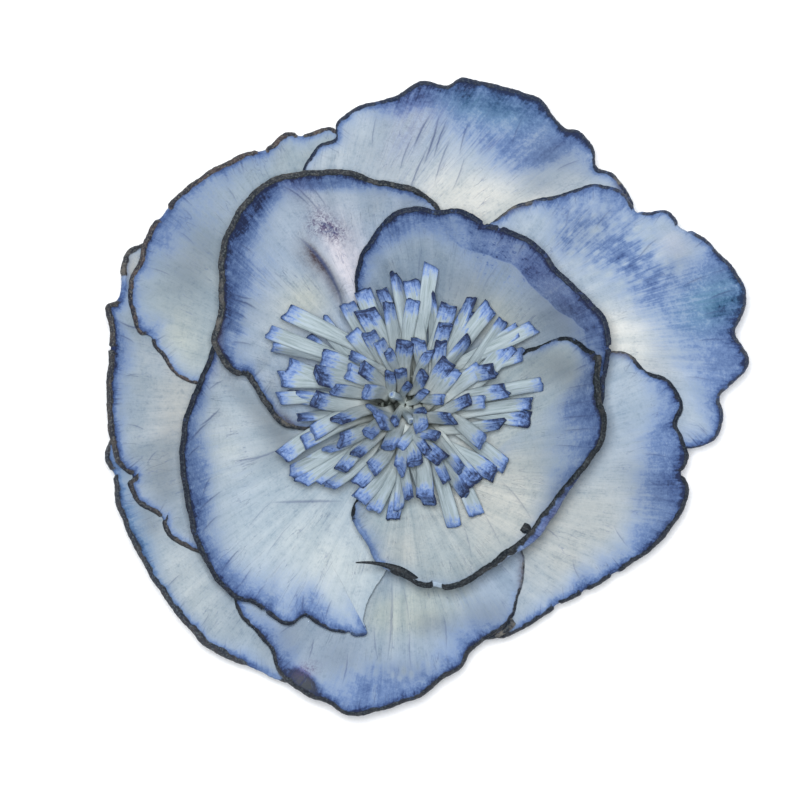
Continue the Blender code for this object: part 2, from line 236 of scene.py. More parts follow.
# ---------------------------------------------------------------------------------------
# Petals: eleven slices across the stem, each with its ring of bark left on as a dark rim.
# The rims are dipped in blue dye, which creeps inward along the pith's rays. They are
# pressed to a bowl while damp and glued round the core, each a step above the last.
# ---------------------------------------------------------------------------------------
OUTLINE_COLUMNS = 520
TOP_RINGS = 42
UNDER_RINGS = 12
EDGE_ROWS = 5
RING_CROWDING = 1.6  # rings crowd towards the rim, where the bark and the dye are
UNDER_CROWDING = 1.5
HALF_THICKNESS = 0.42
EDGE_BULGE = 0.12
LIFT_POWER = 4
EVENED_BEARING = 0.06  # radians round a petal's centre that its edge's lift is evened over
ROOT_RADIUS = 7  # a petal's bowl starts to rise here
BARK_FROM_AXIS = 13  # nearer the core the slice is cut away, so it has no bark
FLAKE_SETBACK = 0.35  # how far the rim stands back where bark has flaked off
BARK_HEIGHT = 0.04
TIERS = {  # reach, power of the bowl, climb in mm for a degree round the core
    "outer": (45, 1.6, 0.018),
    "middle": (33, 1.7, 0.010),
    "inner": (29, 1.7, 0.008),
}
# Waves along a rim: their lengths, their depth together, and what is added to their seed.
# The swell runs round a petal's bearing in radians, and the rest along its outline.
FINE_RAGS = (2.9, 1.7, 1.1, 0.8), 0.03, 0
BROAD_RAGS = (6.3, 4.1), 0.07, 50
BARK_WIDTHS = (9.2, 4.3, 1.9), 0.28, 20
BARK_LUMPS = (1.9, 1.2, 0.9), 0.02, 70
SWELL = (0.5, 0.33, 0.23), 0.22, 90

# The tuck in middle_petal_2: its line, how high and low its sides go, and how far they reach.
TUCK_LINE = ((-7.5, 6), (-8.5, 10), (-9.1, 14), (-9.2, 17), (-11.1, 20), (-13.4, 22.5),
             (-15.6, 25))
TUCK_SLANT = 0.8
TUCK_RISE, TUCK_RISE_REACH = 2, 5
TUCK_FALL, TUCK_FALL_REACH = 1, 3.5
TUCK_HALF_STEP = 0.7
TUCK_GROWN = (9, 16)
TUCK_FADED = (15, 25.5)


def smooth_step(low, high, value):
    """0 below low, 1 above high and an S-shaped cubic between."""
    t = np.clip((value - low) / (high - low), 0, 1)
    return t * t * (3 - 2 * t)


def tuck(x, y):
    """Height of the tuck. Right of a curved line the pith stands higher, and left of it
    lower. The step is tallest in the middle of the line and dies away towards both its
    ends, and each side dies away with the distance from the line."""
    line = np.array(TUCK_LINE)
    right = TUCK_SLANT * (x - np.interp(y, line[:, 1], line[:, 0]))
    grown = (1 - smooth_step(*TUCK_FADED, y)) * smooth_step(*TUCK_GROWN, y)
    above = TUCK_RISE * np.exp(-np.maximum(right, 0) / TUCK_RISE_REACH)
    below = -TUCK_FALL * np.exp(np.minimum(right, 0) / TUCK_FALL_REACH)
    side = smooth_step(-TUCK_HALF_STEP, TUCK_HALF_STEP, right)
    return grown * (below * (1 - side) + above * side)


# Each petal sits at `seat` where it leaves the core at `azimuth`, and has risen by `rise` at
# its tier's reach. A rim row is x, y, how far the edge is lifted there, how wide the dye
# reaches in from it and how strong it is. Where only x and y stand, it is neither lifted nor
# dyed. `bark` is the bark's width and `bark_hues` its dark, brown and grey. A knot is x, y,
# half the length of a thicker or thinner stretch of it and the factor on its width, and a
# gap is where it has flaked off: x, y and half its length. `roll` is where and how far the
# face leans outward past its edge: azimuth, half width in degrees, and millimetres. `shape`
# gives a height to add. The pith is `cool` at its thinnest and `warm` in the belly, and its
# rays spread from `rays_from`. A wash is a soft-edged patch of stain, dye, warm pith or
# painted shade: x, y, long and wide half sizes, the turn of its long axis in degrees, and how
# strong it is. Splinters and creases are described where they are made.
PETALS = {
    "outer_petal_1": dict(
        tier="outer", azimuth=215, seat=2.8, rise=7, bark=0.4, rays_from=(0, 0),
        bark_hues=("#262C36", "#36363A", "#535B60"), cool="#95A2AD", warm="#B2BABD",
        rim=((-44.3, -5.1, 0.4, 2.5, 0.7), (-44.9, -8.1, 0.8, 2.5, 0.7),
             (-43.8, -10.5, 1.2, 2.5, 0.6), (-43.2, -14.8, 1.8, 3, 0.65),
             (-41.6, -18.9, 2.2, 3.5, 0.65), (-39.3, -23.5, 2.4, 3, 0.6),
             (-36.4, -28.2, 2.4, 2.5, 0.55), (-33.2, -32.5, 2.2, 2.5, 0.6),
             (-29.3, -36.5, 1.8, 2.6, 0.6), (-24.3, -39, 1.2, 3.2, 0.75),
             (-18.4, -41.6, 0.4, 2, 0.4), (-14, -40.5, 0, 2, 0.4), (-11.5, -34, 0, 2, 0.3),
             (-7, -20, 0, 2, 0.2), (-2.2, -7.2), (-5.6, -4.2), (-7.4, 0.5), (-20, 3, 0, 2, 0.3),
             (-33, 2.5, 0, 2, 0.4), (-41, 0.4, 0, 2.5, 0.5)),
        knots=((-29.2, -36.3, 9, 1.7),),
        gaps=((-43.9, -10.2, 0.5), (-21.3, -40.2, 3.2)),
        creases=((-41.6, -14.5, -38.9, -13, 0.3, 0.06, 0.7),
                 (-35.8, -27.6, -33.6, -25.4, 0.2, 0.05, 0.6),
                 (-31, -33.6, -29.4, -31, -0.2, 0.05, 0.5)),
        washes=dict(
            blue=((-41, -18, 9, 4, -68, 0.2),),
            cream=((-33, -26, 9, 3.5, -55, 1.2),),
            teal=((-40, -18, 12, 5, -68, 0.7),),
            grey=((-38.4, -17.5, 3, 1.5, -60, 0.5),))),
    "outer_petal_2": dict(
        tier="outer", azimuth=180, seat=3.5, rise=7.2, bark=0.45, rays_from=(0, 0),
        bark_hues=("#282B33", "#3E3B3B", "#5C5F5E"), cool="#96A2AC", warm="#BBBBB6",
        rim=((-39.7, 24.1, 0.6, 1.5, 0.2), (-41.8, 22.8, 1.4, 1.5, 0.2), (-42.5, 19.6, 2.2, 2, 0.5),
             (-43.2, 15.7, 2.8, 2.5, 0.8), (-44.7, 14.6, 3.2, 3, 0.95), (-44, 10.9, 3.4, 4.5, 1),
             (-44.4, 5, 3.4, 5, 1), (-44.5, 0.2, 3.2, 4.5, 1), (-44.1, -4.8, 2.6, 3, 0.95),
             (-43.1, -8.5, 1.8, 3, 0.9), (-41.1, -10.8, 1.2, 2.5, 0.8),
             (-41.5, -11.9, 1, 2.5, 0.75), (-40, -14.7, 0.8, 2.5, 0.7), (-36.7, -17, 0.6, 2.5, 0.6),
             (-35.3, -19.9, 0.4, 2, 0.6), (-30.3, -22.3, 0.2, 2, 0.5), (-25, -21.5, 0, 2, 0.4),
             (-14, -11.5, 0, 1, 0.2), (-6.6, -3.6), (-7.4, 0.6), (-6, 4.5), (-14, 12, 0, 1, 0.2),
             (-27, 21, 0, 2, 0.3), (-35, 25.4, 0, 2, 0.3)),
        gaps=((-42.7, 17.5, 2.2), (-44.2, 8.4, 0.35), (-40.6, -10.6, 0.4), (-36.4, -16.9, 0.4)),
        creases=((-43.4, 12.9, -38.2, 11.5, -0.5, 0.08, 0.9),
                 (-43.6, 10.6, -40.6, 9.2, 0.3, 0.06, 0.7),
                 (-41.9, -2.9, -39.1, -3.8, 0.2, 0.05, 0.6),
                 (-42.4, 4.2, -39.8, 4.6, 0.2, 0.05, 0.5),
                 (-38.9, -9, -37.2, -6.8, 0.2, 0.05, 0.6)),
        washes=dict(
            cream=((-34.5, 0.5, 7, 3.5, 80, 0.9), (-41.2, 20.5, 2.5, 1, 70, 0.8)),
            grey=((-37, -12, 5, 3, -50, 0.3), (-35.6, -7.5, 7, 2.4, 80, 0.4)),
            brown=((-42.3, 21.5, 2.6, 0.8, 75, 1),))),
    "outer_petal_3": dict(
        tier="outer", azimuth=140, seat=4.1, rise=7.4, bark=0.33, rays_from=(0, 0),
        bark_hues=("#252832", "#4A4140", "#66655F"), cool="#9AA6AC", warm="#B6BBB4",
        rim=((-10.8, 41.5, 0.2, 2.5, 0.4), (-14.6, 40.7, 0.6, 2.5, 0.45),
             (-17.8, 40.7, 1, 2.5, 0.5), (-20.7, 38.6, 1.2, 3, 0.5), (-24.2, 37.6, 1.6, 3.5, 0.6),
             (-28.9, 35.2, 1.8, 4.5, 0.6), (-33, 32.3, 2, 5, 0.62), (-36.4, 28.7, 2.2, 5, 0.6),
             (-38.9, 24.8, 2.2, 5.5, 0.75), (-39.7, 21.5, 2.2, 4.5, 0.65), (-41.1, 18.8, 2, 4, 0.6),
             (-41.3, 16, 1.8, 4, 0.65), (-40.1, 11.2, 1.2, 4, 0.75), (-38.1, 9.9, 0.8, 3, 0.6),
             (-37.3, 8.4, 0.6, 3, 0.55), (-34.1, 4.4, 0.2, 2.5, 0.5), (-30.9, 3.1, 0, 2.5, 0.45),
             (-25, 2.2, 0, 2, 0.3), (-14, 1.6, 0, 2, 0.2), (-7.3, 0.6), (-5.6, 4.8), (-2.1, 7.2),
             (-4, 16, 0, 1, 0.2), (-5.5, 28, 0, 2, 0.3), (-7, 37, 0, 2, 0.3)),
        gaps=((-15.9, 40.5, 0.5), (-21.4, 38.1, 0.7), (-36.3, 28.8, 1.3), (-38.6, 10.5, 0.8)),
        creases=((-38.4, 20.6, -35.2, 19.4, 0.2, 0.05, 0.5),
                 (-34.2, 26.2, -31.6, 24, 0.2, 0.05, 0.5), (-27, 33, -25.2, 30.2, 0.2, 0.05, 0.5)),
        washes=dict(
            blue=((-34, 24, 6, 5, 75, 0.15), (-28, 30, 9, 4, 40, 0.18)),
            grey=((-31.5, 21.5, 8, 4.5, 55, 0.6),),
            cream=((-34, 10, 5, 3.5, -50, 0.8),))),
    "outer_petal_4": dict(
        tier="outer", azimuth=85, seat=4.4, rise=7.6, bark=0.24, rays_from=(-15, 10),
        bark_hues=("#18243C", "#272D3B", "#3F4A54"), cool="#A8B2BA", warm="#CCCCC6",
        rim=((34.3, 29.3, 0.2, 3, 0.4), (33.6, 31.4, 0.4, 3, 0.45), (31.3, 34.5, 0.8, 2.8, 0.5),
             (28.6, 35.8, 1, 3.5, 0.65), (28.1, 38.7, 1.2, 6.5, 0.9), (25.9, 41, 1.2, 10, 1),
             (23.5, 41.7, 1.2, 10, 1), (20.5, 45.4, 1.4, 11, 1), (17.8, 46.7, 1.4, 10, 1),
             (12.9, 48, 1.6, 9, 1), (8.8, 48.8, 1.6, 8, 0.95), (6.1, 47.8, 1.6, 6, 0.85),
             (2.6, 48.4, 1.4, 5, 0.7), (0, 47, 1.4, 4, 0.6), (-3, 45.6, 1.2, 3.5, 0.6),
             (-6.8, 44.8, 1, 3.5, 0.55), (-10, 42.4, 0.8, 3, 0.5), (-10.5, 40, 0.6, 2.5, 0.5),
             (-13.2, 38.6, 0.4, 2, 0.4), (-15.4, 34.7, 0.2, 2, 0.3), (-15, 29, 0, 2, 0.2),
             (-10.5, 19), (-3.8, 6.5), (0.4, 7.4), (4.9, 5.6), (14, 13, 0, 1, 0.1),
             (25, 21.5, 0, 2, 0.2), (32.5, 26.5, 0, 2, 0.3)),
        creases=((0.3, 31, 3.8, 39.4, 0.3, 0.07, 0.8), (1.2, 38.3, 3.8, 43.8, 0.2, 0.09, 0.9),
                 (2.7, 36, 5.1, 43.6, -0.2, 0.1, 1), (4.3, 37, 6.4, 43.1, 0.2, 0.08, 0.9),
                 (-0.9, 35, 1.2, 40.6, 0.2, 0.06, 0.7), (4.4, 33.2, 6.9, 40.3, 0.2, 0.07, 0.7),
                 (7, 32.1, 9, 37.6, -0.2, 0.06, 0.6), (8.2, 37.5, 9.6, 42.6, 0.2, 0.07, 0.7),
                 (-5, 38.4, -4.2, 43.6, 0.2, 0.05, 0.6), (16, 38.8, 17.8, 43.4, 0.2, 0.06, 0.6),
                 (21.8, 37.6, 24.2, 39.8, 0.2, 0.06, 0.6),
                 (22.6, 35.2, 26.4, 36.8, 0.2, 0.06, 0.6)),
        washes=dict(
            blue=((15, 38.5, 9, 4, -25, 0.4), (12.5, 45.5, 8, 1.6, -12, 0.35),
                  (1, 45.6, 4, 1.6, 20, 0.5), (2, 41, 8, 5, 40, 0.2)),
            streak=((3.5, 39.5, 7, 4, 65, 0.5), (13, 39, 6, 3, -20, 0.5)),
            cream=((13, 29.5, 13, 5, -15, 1.3),),
            teal=((12.5, 44.5, 8, 2.5, -12, 1.1),),
            violet=((1, 42, 6, 4, 60, 0.35),),
            grey=((23, 37, 5, 3, -25, 0.45), (20, 33.5, 4, 2.5, -25, 0.35),
                  (-3, 38, 5, 5, 0, 0.12)),
            brown=((32.8, 32.4, 3.2, 0.8, -68, 1.1),))),
    "outer_petal_5": dict(
        tier="outer", azimuth=25, seat=4.65, rise=7.8, bark=0.14, rays_from=(8, 8),
        bark_hues=("#1F2A42", "#2F3440", "#4A545E"), cool="#A5B1BC", warm="#CFD0CB",
        rim=((42.6, -6.5, 0.2, 4, 0.85), (46.3, -5.2, 0.6, 5, 0.85), (47.6, -2, 0.8, 6, 0.85),
             (47, 0.8, 0.9, 6, 0.8), (48.3, 2.7, 1, 8, 0.8), (50.9, 5.2, 1.2, 7.5, 1),
             (51.2, 7.6, 1.2, 8.5, 1), (49.3, 10.4, 1.2, 9, 1), (50.2, 13.1, 1.4, 11, 0.85),
             (50.9, 15.6, 1.5, 11, 0.9), (50.3, 18.5, 1.5, 11, 0.9), (48.1, 21.4, 1.4, 9, 0.85),
             (44.8, 24.8, 1.2, 4, 0.6), (41.6, 26.6, 1, 2, 0.2), (39.2, 28.9, 1, 3, 0.6),
             (35, 29, 0.8, 2.5, 0.35), (32, 32.2, 0.8, 7, 0.8), (27.8, 32.9, 0.6, 6, 0.75),
             (22.9, 31.4, 0.4, 4.5, 0.65), (17.6, 30.3, 0.2, 3, 0.6), (13.2, 27.5, 0, 3, 0.5),
             (9, 23, 0, 2, 0.3), (5.5, 14), (3, 7), (6.6, 3.4), (7.5, -0.8), (18, -4),
             (30, -6.5, 0, 2, 0.3), (37.5, -7.2, 0, 3, 0.6)),
        knots=((19.5, 31, 4.5, 2.2),),
        gaps=((41.6, 26.6, 1), (34.6, 28.9, 0.5)),
        creases=((41.7, 17.8, 45.6, 19.5, 0.2, 0.07, 0.7), (45.6, 15.9, 49.6, 17.3, 0.2, 0.08, 0.8),
                 (44.6, 13.4, 48.6, 14.2, 0.2, 0.07, 0.7), (45.9, 19.8, 49, 21, -0.2, 0.06, 0.6),
                 (43.8, 9.6, 48.6, 9.8, 0.2, 0.06, 0.6), (28.4, 26.2, 31.2, 29.6, 0.2, 0.06, 0.5),
                 (34.8, 21.6, 38.2, 25.2, 0.3, 0.07, 0.6), (42, 4.2, 46.4, 3.6, 0.2, 0.06, 0.5),
                 (24.2, 26.6, 25, 29.8, 0.2, 0.05, 0.4)),
        washes=dict(
            blue=((33, 22.5, 10, 4.5, -25, 0.6), (43, 18, 4, 3, 60, 0.2),
                  (40.5, 10.5, 7, 4, -60, 0.36), (48.3, 14.5, 4.5, 2.4, 80, 0.42),
                  (47, 6, 3, 3, 0, 0.16), (25, 25.5, 4, 2.5, 25, 0.18), (37, 16, 3.5, 3, 0, 0.25)),
            brown=((16.5, 30, 4.5, 0.8, 22, 1.1),),
            mottle=((31.5, 23, 10, 6, -30, 1),),
            teal=((46.5, 15.6, 5.5, 3.5, 30, 1.6),),
            cream=((32, 10, 8, 4.5, -20, 1.3),),
            blush=((40.5, 24, 3, 2.2, -30, 0.45),),
            streak=((45, 15, 6, 5, 20, 0.3),),
            grey=((27, 26, 4, 3, 25, 0.3), (41, 22, 4, 2.5, 80, 0.3), (38, 6, 3, 3, 0, 0.2)))),
    "outer_petal_6": dict(
        tier="outer", azimuth=-30, seat=5, rise=8, bark=0.28, rays_from=(0, -12),
        cool="#A0ADB9", warm="#ADB1B0",
        rim=((13.9, -34.9, 0.2, 3, 0.5), (17.9, -33.5, 0.4, 3, 0.55), (22.9, -30.2, 0.8, 3.5, 0.7),
             (28.3, -27.3, 1, 5, 0.85), (33.4, -24.1, 1.2, 5, 0.85), (37.8, -20.8, 1.4, 5.5, 0.9),
             (40.3, -17.7, 1.4, 5.6, 0.9), (42.3, -14, 1.4, 5.5, 0.95), (42.2, -11.8, 1.4, 6.5, 1),
             (41.6, -10.2, 1.2, 6.5, 1), (42.4, -7.6, 1.2, 6, 1), (41.6, -5.3, 1.2, 7, 0.95),
             (40.7, -3, 1, 6, 0.9), (41.5, -0.4, 1, 5, 0.9), (40.7, 2.1, 0.8, 4.5, 0.9),
             (38.8, 4.2, 0.6, 3.5, 0.75), (36.2, 4.9, 0.4, 2.5, 0.6), (34, 7.4, 0.2, 2, 0.5),
             (30.2, 8.1, 0, 2, 0.5), (22, 8, 0, 1, 0.2), (13, 4.8), (7.3, 1.9), (6.5, -3.6),
             (3.1, -6.9), (5, -16), (8, -27, 0, 2, 0.3), (10, -33, 0, 3, 0.5)),
        knots=((35, 6.5, 4, 0.75), (14.2, -34.6, 1.6, 2.2)),
        gaps=((31.4, -25.2, 0.7), (22.7, -30, 0.6), (26.8, -27.6, 0.5), (41.3, -10.2, 0.4)),
        creases=((20.9, -18.5, 23.3, -20.3, 0.2, 0.07, 0.5),
                 (33.6, -21.4, 31.4, -18, 0.2, 0.05, 0.5),
                 (39.6, -12.2, 36.4, -11.4, 0.2, 0.06, 0.6),
                 (39.8, -8, 35.6, -7.4, -0.2, 0.06, 0.6), (40.6, -14.6, 37, -13.4, 0.2, 0.05, 0.5),
                 (26.4, -26.4, 25.2, -23.2, 0.2, 0.05, 0.5)),
        washes=dict(
            blue=((37, -6, 9, 4.5, 80, 0.22), (38, -13.5, 7, 3.5, 65, 0.33)),
            cream=((26, -19, 12, 7, 40, 1.3),),
            brown=((32.6, 7.9, 3.2, 0.8, -12, 1), (14.2, -34, 2.2, 0.8, 35, 0.9)),
            grey=((36.5, -13, 6, 3.5, -65, 0.4),))),
    "outer_petal_7": dict(
        tier="outer", azimuth=-95, seat=5.15, rise=8.2, bark=0.24, rays_from=(0, -10),
        bark_hues=("#171D28", "#2B2D33", "#414A4F"), cool="#919FAE", warm="#A5ADAA",
        rim=((-25.5, -29.3, 0.2, 2.5, 0.8), (-24.5, -31.9, 0.4, 3, 0.85), (-22, -34.3, 0.6, 4, 0.9),
             (-20, -37, 0.8, 4.5, 0.95), (-18.7, -40.3, 1, 5, 1), (-15.6, -42.9, 1.2, 3.2, 1),
             (-11.2, -44.8, 1.4, 3.4, 0.9), (-8, -46.4, 1.5, 6.5, 0.9), (-3.3, -45.5, 1.5, 7, 0.9),
             (2.4, -43.5, 1.4, 6.5, 0.95), (5.2, -41.3, 1.2, 6, 0.95), (8.3, -39.3, 1, 6, 0.9),
             (10.2, -36.5, 0.9, 5.5, 0.85), (13.5, -34.2, 0.8, 4.5, 0.8),
             (15.6, -32.6, 0.6, 3, 0.4), (17, -28.8, 0.4, 2, 0.25), (17.8, -25, 0.2, 2, 0.2),
             (17.4, -21.5, 0, 2, 0.2), (14, -16), (9.5, -10), (5.6, -5), (-0.6, -7.2), (-4.8, -5.7),
             (-12, -14), (-20, -22.8, 0, 1.5, 0.3), (-24.6, -26.6, 0, 2, 0.5)),
        knots=((17.7, -25, 5, 0.4), (-16.5, -42, 3, 1.8)),
        splinters=((16.3, -32.4, 12.7, 12, -35.2, 12.3, 0.55, 0.12, 0.9),),
        creases=((-2, -26.3, -2.6, -38, 0.3, 0.1, 0.6), (-4.6, -33, -4, -38.6, -0.2, 0.06, 0.5),
                 (-13.8, -35, -14.6, -38.4, 0.2, 0.06, 0.7),
                 (-8.6, -37.2, -9.4, -42, 0.2, 0.06, 0.6), (-19, -34.6, -16.6, -33, 0.2, 0.06, 0.6),
                 (5.8, -31.5, 6.2, -37, 0.2, 0.06, 0.5), (0.8, -33.6, 1, -40, -0.2, 0.06, 0.5),
                 (-0.4, -27, 0.6, -33, 0.2, 0.06, 0.4)),
        # The cream at 7.5, -29 is partly the pith's cream and partly painted light where
        # inner_petal_2's rim shades it; the grey washes are painted shade.
        washes=dict(
            blue=((-6, -41.5, 6, 3, 0, 0.4), (11, -31, 5, 5, 0, 0.22), (-10, -38, 4.5, 3, 0, 0.15),
                  (-15.4, -41.4, 2.1, 1, -35, 2.2)),
            mottle=((0, -41, 8, 3, 0, 0.8),),
            cream=((1, -30.5, 5.5, 4.5, 0, 1.1), (-4, -32, 3, 3, 0, 0.5),
                   (7.5, -29, 3.5, 2.5, 0, 1.1)),
            brown=((17.8, -25.8, 5, 0.8, 88, 1.1),),
            grey=((12.5, -31.8, 4.5, 2.6, 0, 0.55), (4, -33, 3, 2, 0, 0.5),
                  (-10, -38, 4.5, 3, 0, 0.45), (-17.5, -35.5, 3, 2.5, 60, 0.5),
                  (0, -40, 5, 2, 0, 0.4), (-15.2, -41.6, 1.9, 0.9, -35, 2.4)),
            violet=((-15, -40, 1.8, 1.2, 30, 1.1),))),
    "middle_petal_1": dict(
        tier="middle", azimuth=213, seat=6.4, rise=5.5, bark=0.2, rays_from=(0, 0),
        cool="#A6B2BA", warm="#BCC2C0",
        rim=((-28.6, 8.8, 2, 2, 0.7), (-29.8, 5.6, 3.2, 3, 0.85), (-31.1, 2.6, 4.2, 3.5, 0.95),
             (-32.5, -1.1, 5.2, 4.5, 1), (-33.3, -5.5, 6, 5.5, 1), (-33.2, -10.2, 6, 6, 1),
             (-32.4, -14.8, 5.6, 6, 0.95), (-31.6, -18.9, 4.8, 6, 0.9), (-30.1, -22.6, 3.8, 6, 0.8),
             (-28.4, -25.6, 2.8, 6, 0.8), (-25.6, -28.7, 1.8, 6, 0.85),
             (-22.4, -29.7, 1.2, 5.5, 0.85), (-19.5, -32, 0.8, 5.5, 0.85),
             (-17, -32.8, 0.6, 5, 0.85), (-15, -31.6, 0.4, 5, 0.8), (-12.7, -33, 0.3, 5.5, 0.95),
             (-9.1, -34.2, 0.2, 4, 0.7), (-5.7, -34.4, 0.2, 3.5, 0.6), (-6, -32, 0.1, 1, 0.1),
             (-4.7, -28.2), (-2.6, -25), (-1, -17), (-1.5, -7.3), (-6.2, -4.1), (-7.1, 2),
             (-14, 6, 0, 1, 0.1), (-22, 9, 0.4, 1.5, 0.4), (-26.4, 10, 1, 2, 0.5)),
        knots=((-7, -34.4, 3.5, 0.5),),
        gaps=((-21.2, -30.9, 0.3), (-8.5, -34.7, 0.35), (-4.2, -27, 8.2)),
        creases=((-26.4, -8.4, -18.4, -6.4, -0.5, 0.09, 0.7),
                 (-20.4, -14.7, -9.2, -14.5, 0.1, 0.12, 0.7),
                 (-31, -3.2, -27.8, -0.4, -0.2, 0.08, 0.9),
                 (-32.2, -5.4, -29.3, -2.4, 0.2, 0.08, 0.9), (-32.6, -8, -30.6, -6, 0.2, 0.06, 0.8),
                 (-30.4, -13.8, -29, -10.6, 0.2, 0.06, 0.7),
                 (-31.2, -16.2, -27.4, -12.8, 0.2, 0.07, 0.8),
                 (-30.6, -19.4, -27.8, -16.4, 0.2, 0.06, 0.7),
                 (-27.6, -25.2, -24.6, -21.4, 0.2, 0.07, 0.7),
                 (-25.4, -27.6, -23, -24.2, -0.2, 0.06, 0.6),
                 (-22.6, -29.4, -20.8, -26.8, 0.2, 0.06, 0.6),
                 (-15.4, -31.4, -15.2, -28.4, 0.1, 0.08, 0.8),
                 (-12, -32.2, -11, -29.2, 0.1, 0.06, 0.7), (-29.6, 2.2, -27, 3.8, 0.2, 0.06, 0.6),
                 (-24, -19, -19, -13.6, 0.3, 0.05, 0.4), (-21, -23, -16.6, -17.4, 0.3, 0.05, 0.4)),
        washes=dict(
            blue=((-26, -8, 14, 5, 80, 0.13), (-16, -27, 10, 4, -20, 0.16),
                  (-30.8, -13, 9, 2, 84, 0.36), (-27.5, -25, 5, 1.8, -48, 0.22)),
            cream=((-26.5, -6, 4, 5, 0, 1), (-12, -25, 8, 6, -30, 0.8)),
            grey=((-20, -2.6, 7, 2.6, -50, 0.88), (-19.5, -8, 4, 3, 0, 0.35)),
            violet=((-27, 5, 3, 3, 0, 0.25),))),
    "middle_petal_2": dict(
        tier="middle", azimuth=135, seat=7, rise=9, bark=0.36, rays_from=(0, 0),
        shape=tuck, bark_hues=("#1F252D", "#37383B", "#565B5B"), cool="#9FACBA", warm="#B7BBB4",
        rim=((3.4, 31, 1.5, 2.5, 0.6), (0.8, 32.5, 2.2, 3, 0.7), (-4.2, 33.4, 2.8, 3, 0.8),
             (-8.8, 34.8, 3.2, 4, 1), (-13.2, 34.7, 3.4, 4.5, 1), (-18, 34.1, 3.6, 5.5, 1),
             (-21.5, 32.4, 3.8, 5.5, 1), (-24.3, 29.4, 4.2, 6.6, 0.95), (-26.6, 25.2, 4.4, 6.5, 1),
             (-27.5, 21.1, 4.6, 6.5, 1), (-27.4, 18, 4.6, 6, 1), (-27.7, 13, 4.6, 5, 1),
             (-28.6, 9.6, 4.4, 3.2, 0.95), (-27.1, 6.5, 4.2, 3, 0.95), (-25.1, 4.6, 4, 3, 0.9),
             (-23.4, 4.2, 3.8, 2.8, 0.8), (-20.9, 0.2, 3.2, 2.6, 0.65),
             (-19.1, -2.2, 2.6, 2.5, 0.6), (-16.6, -3.5, 2, 2, 0.5), (-11.5, -3.4, 0.5, 1, 0.2),
             (-7.2, -1.8), (-5.8, 4.5), (-1, 7.4), (2, 15), (5, 23, 0.2, 1.5, 0.2),
             (5.8, 28, 0.8, 2, 0.4)),
        creases=((-16.4, 25.5, -9.2, 14.2, 1.3, 0.16, 1), (-18.6, 32.9, -14, 29.6, 0.3, 0.08, 0.8),
                 (-17, 33.2, -12.8, 29, 0.2, 0.07, 0.7), (-14.8, 33.4, -11.6, 29.4, 0.2, 0.06, 0.6),
                 (-26.4, 15.9, -22.2, 14.4, 0.3, 0.09, 1), (-26.2, 17, -22.8, 16, -0.3, 0.08, 0.9),
                 (-26.2, 14.2, -23.6, 12.8, 0.2, 0.07, 0.8), (-26.4, 9.4, -22.8, 9, 0.2, 0.06, 0.6),
                 (-13.4, 27.6, -10, 25.2, 0.5, 0.12, 0.8), (-13, 26.2, -10.4, 26.9, -0.5, 0.1, 0.8),
                 (-11.4, 24.8, -9.8, 26.4, 0.4, 0.1, 0.7),
                 (-25.4, 24.4, -22.6, 22.6, 0.2, 0.06, 0.7)),
        # Right of the tuck the blush is partly a painted highlight on its raised side; along its
        # low side the brown is partly a stain and partly painted shade, and the grey under it is
        # painted shade.
        washes=dict(
            blue=((-22.5, 21, 10, 4, 80, 0.3), (-25.4, 20, 8, 2, 86, 0.25),
                  (-14, 33, 10, 1.2, -2, 0.35), (-15.5, 12, 3, 3, 0, 0.1),
                  (-25.8, 10.5, 5, 2, 88, 0.35), (-23.4, 27.6, 5, 1.6, 45, 0.7)),
            cream=((-18.5, 13.5, 5, 4, 80, 0.55), (-14.5, 15.5, 3.2, 3, 0, 0.9)),
            violet=((-10.5, 26, 2.2, 1.7, -35, 1.4), (-13.2, 27.2, 1.6, 2.2, -25, 1.1),
                    (-15, 31, 5, 2, -50, 0.3)),
            brown=((-13.3, 22.2, 2.8, 0.75, -54, 1.2), (-14.3, 21.6, 3.2, 1.5, -48, 0.6),
                   (-27.8, 12.5, 7, 0.7, 90, 0.8), (-17.8, -2.6, 3, 0.9, -40, 1.1),
                   (-10.7, 17.8, 4, 0.8, -62, 0.5)),
            grey=((-10.6, 17.8, 2.5, 0.9, -66, 0.7),),
            blush=((-8.6, 21.5, 3.2, 7.5, 25, 1.2),))),
    "inner_petal_1": dict(
        tier="inner", azimuth=55, seat=7.7, rise=12, bark=0.16, rays_from=(4, 2),
        bark_hues=("#131D33", "#222838", "#3A454E"), cool="#8A99A8", warm="#A6ADAB",
        rim=((29.2, 0.1, 0.2, 3, 0.85), (29.7, 4, 0.6, 3.5, 0.9), (30.4, 9, 1.2, 5, 0.95),
             (29.7, 12.5, 1.6, 6.5, 1), (26.9, 15.9, 1.8, 7.5, 1), (23, 19.6, 1.8, 8, 1),
             (19.3, 23.9, 1.6, 8, 1), (15.3, 25.9, 1.6, 7.5, 1), (11.6, 27.1, 1.4, 7, 1),
             (8.3, 28.9, 1.4, 8, 0.95), (4.6, 28.8, 1.4, 8, 0.95), (1, 29.3, 1.6, 7, 0.95),
             (-2.2, 28, 2, 4.5, 0.95), (-4.9, 24.8, 2.4, 4, 0.95), (-6.8, 21.4, 2.4, 3.5, 0.95),
             (-7.3, 17.7, 2, 3, 0.9), (-6, 12, 0.6, 2, 0.6), (-2.7, 6.9), (4.1, 6.1), (7.4, 0.2),
             (14, -3.4), (22.5, -4.4, 0, 1.5, 0.3), (28, -3, 0, 2.5, 0.6)),
        knots=((30.8, 9, 4, 1.6), (-6.5, 20, 5, 1.3)),
        gaps=((12, 27.6, 0.25), (14.3, 26.8, 0.2), (30.6, 8.6, 0.3)),
        creases=((19.4, 21.4, 21, 23.6, 0.1, 0.07, 0.8), (21.9, 18.4, 23, 20.6, 0.1, 0.07, 0.8),
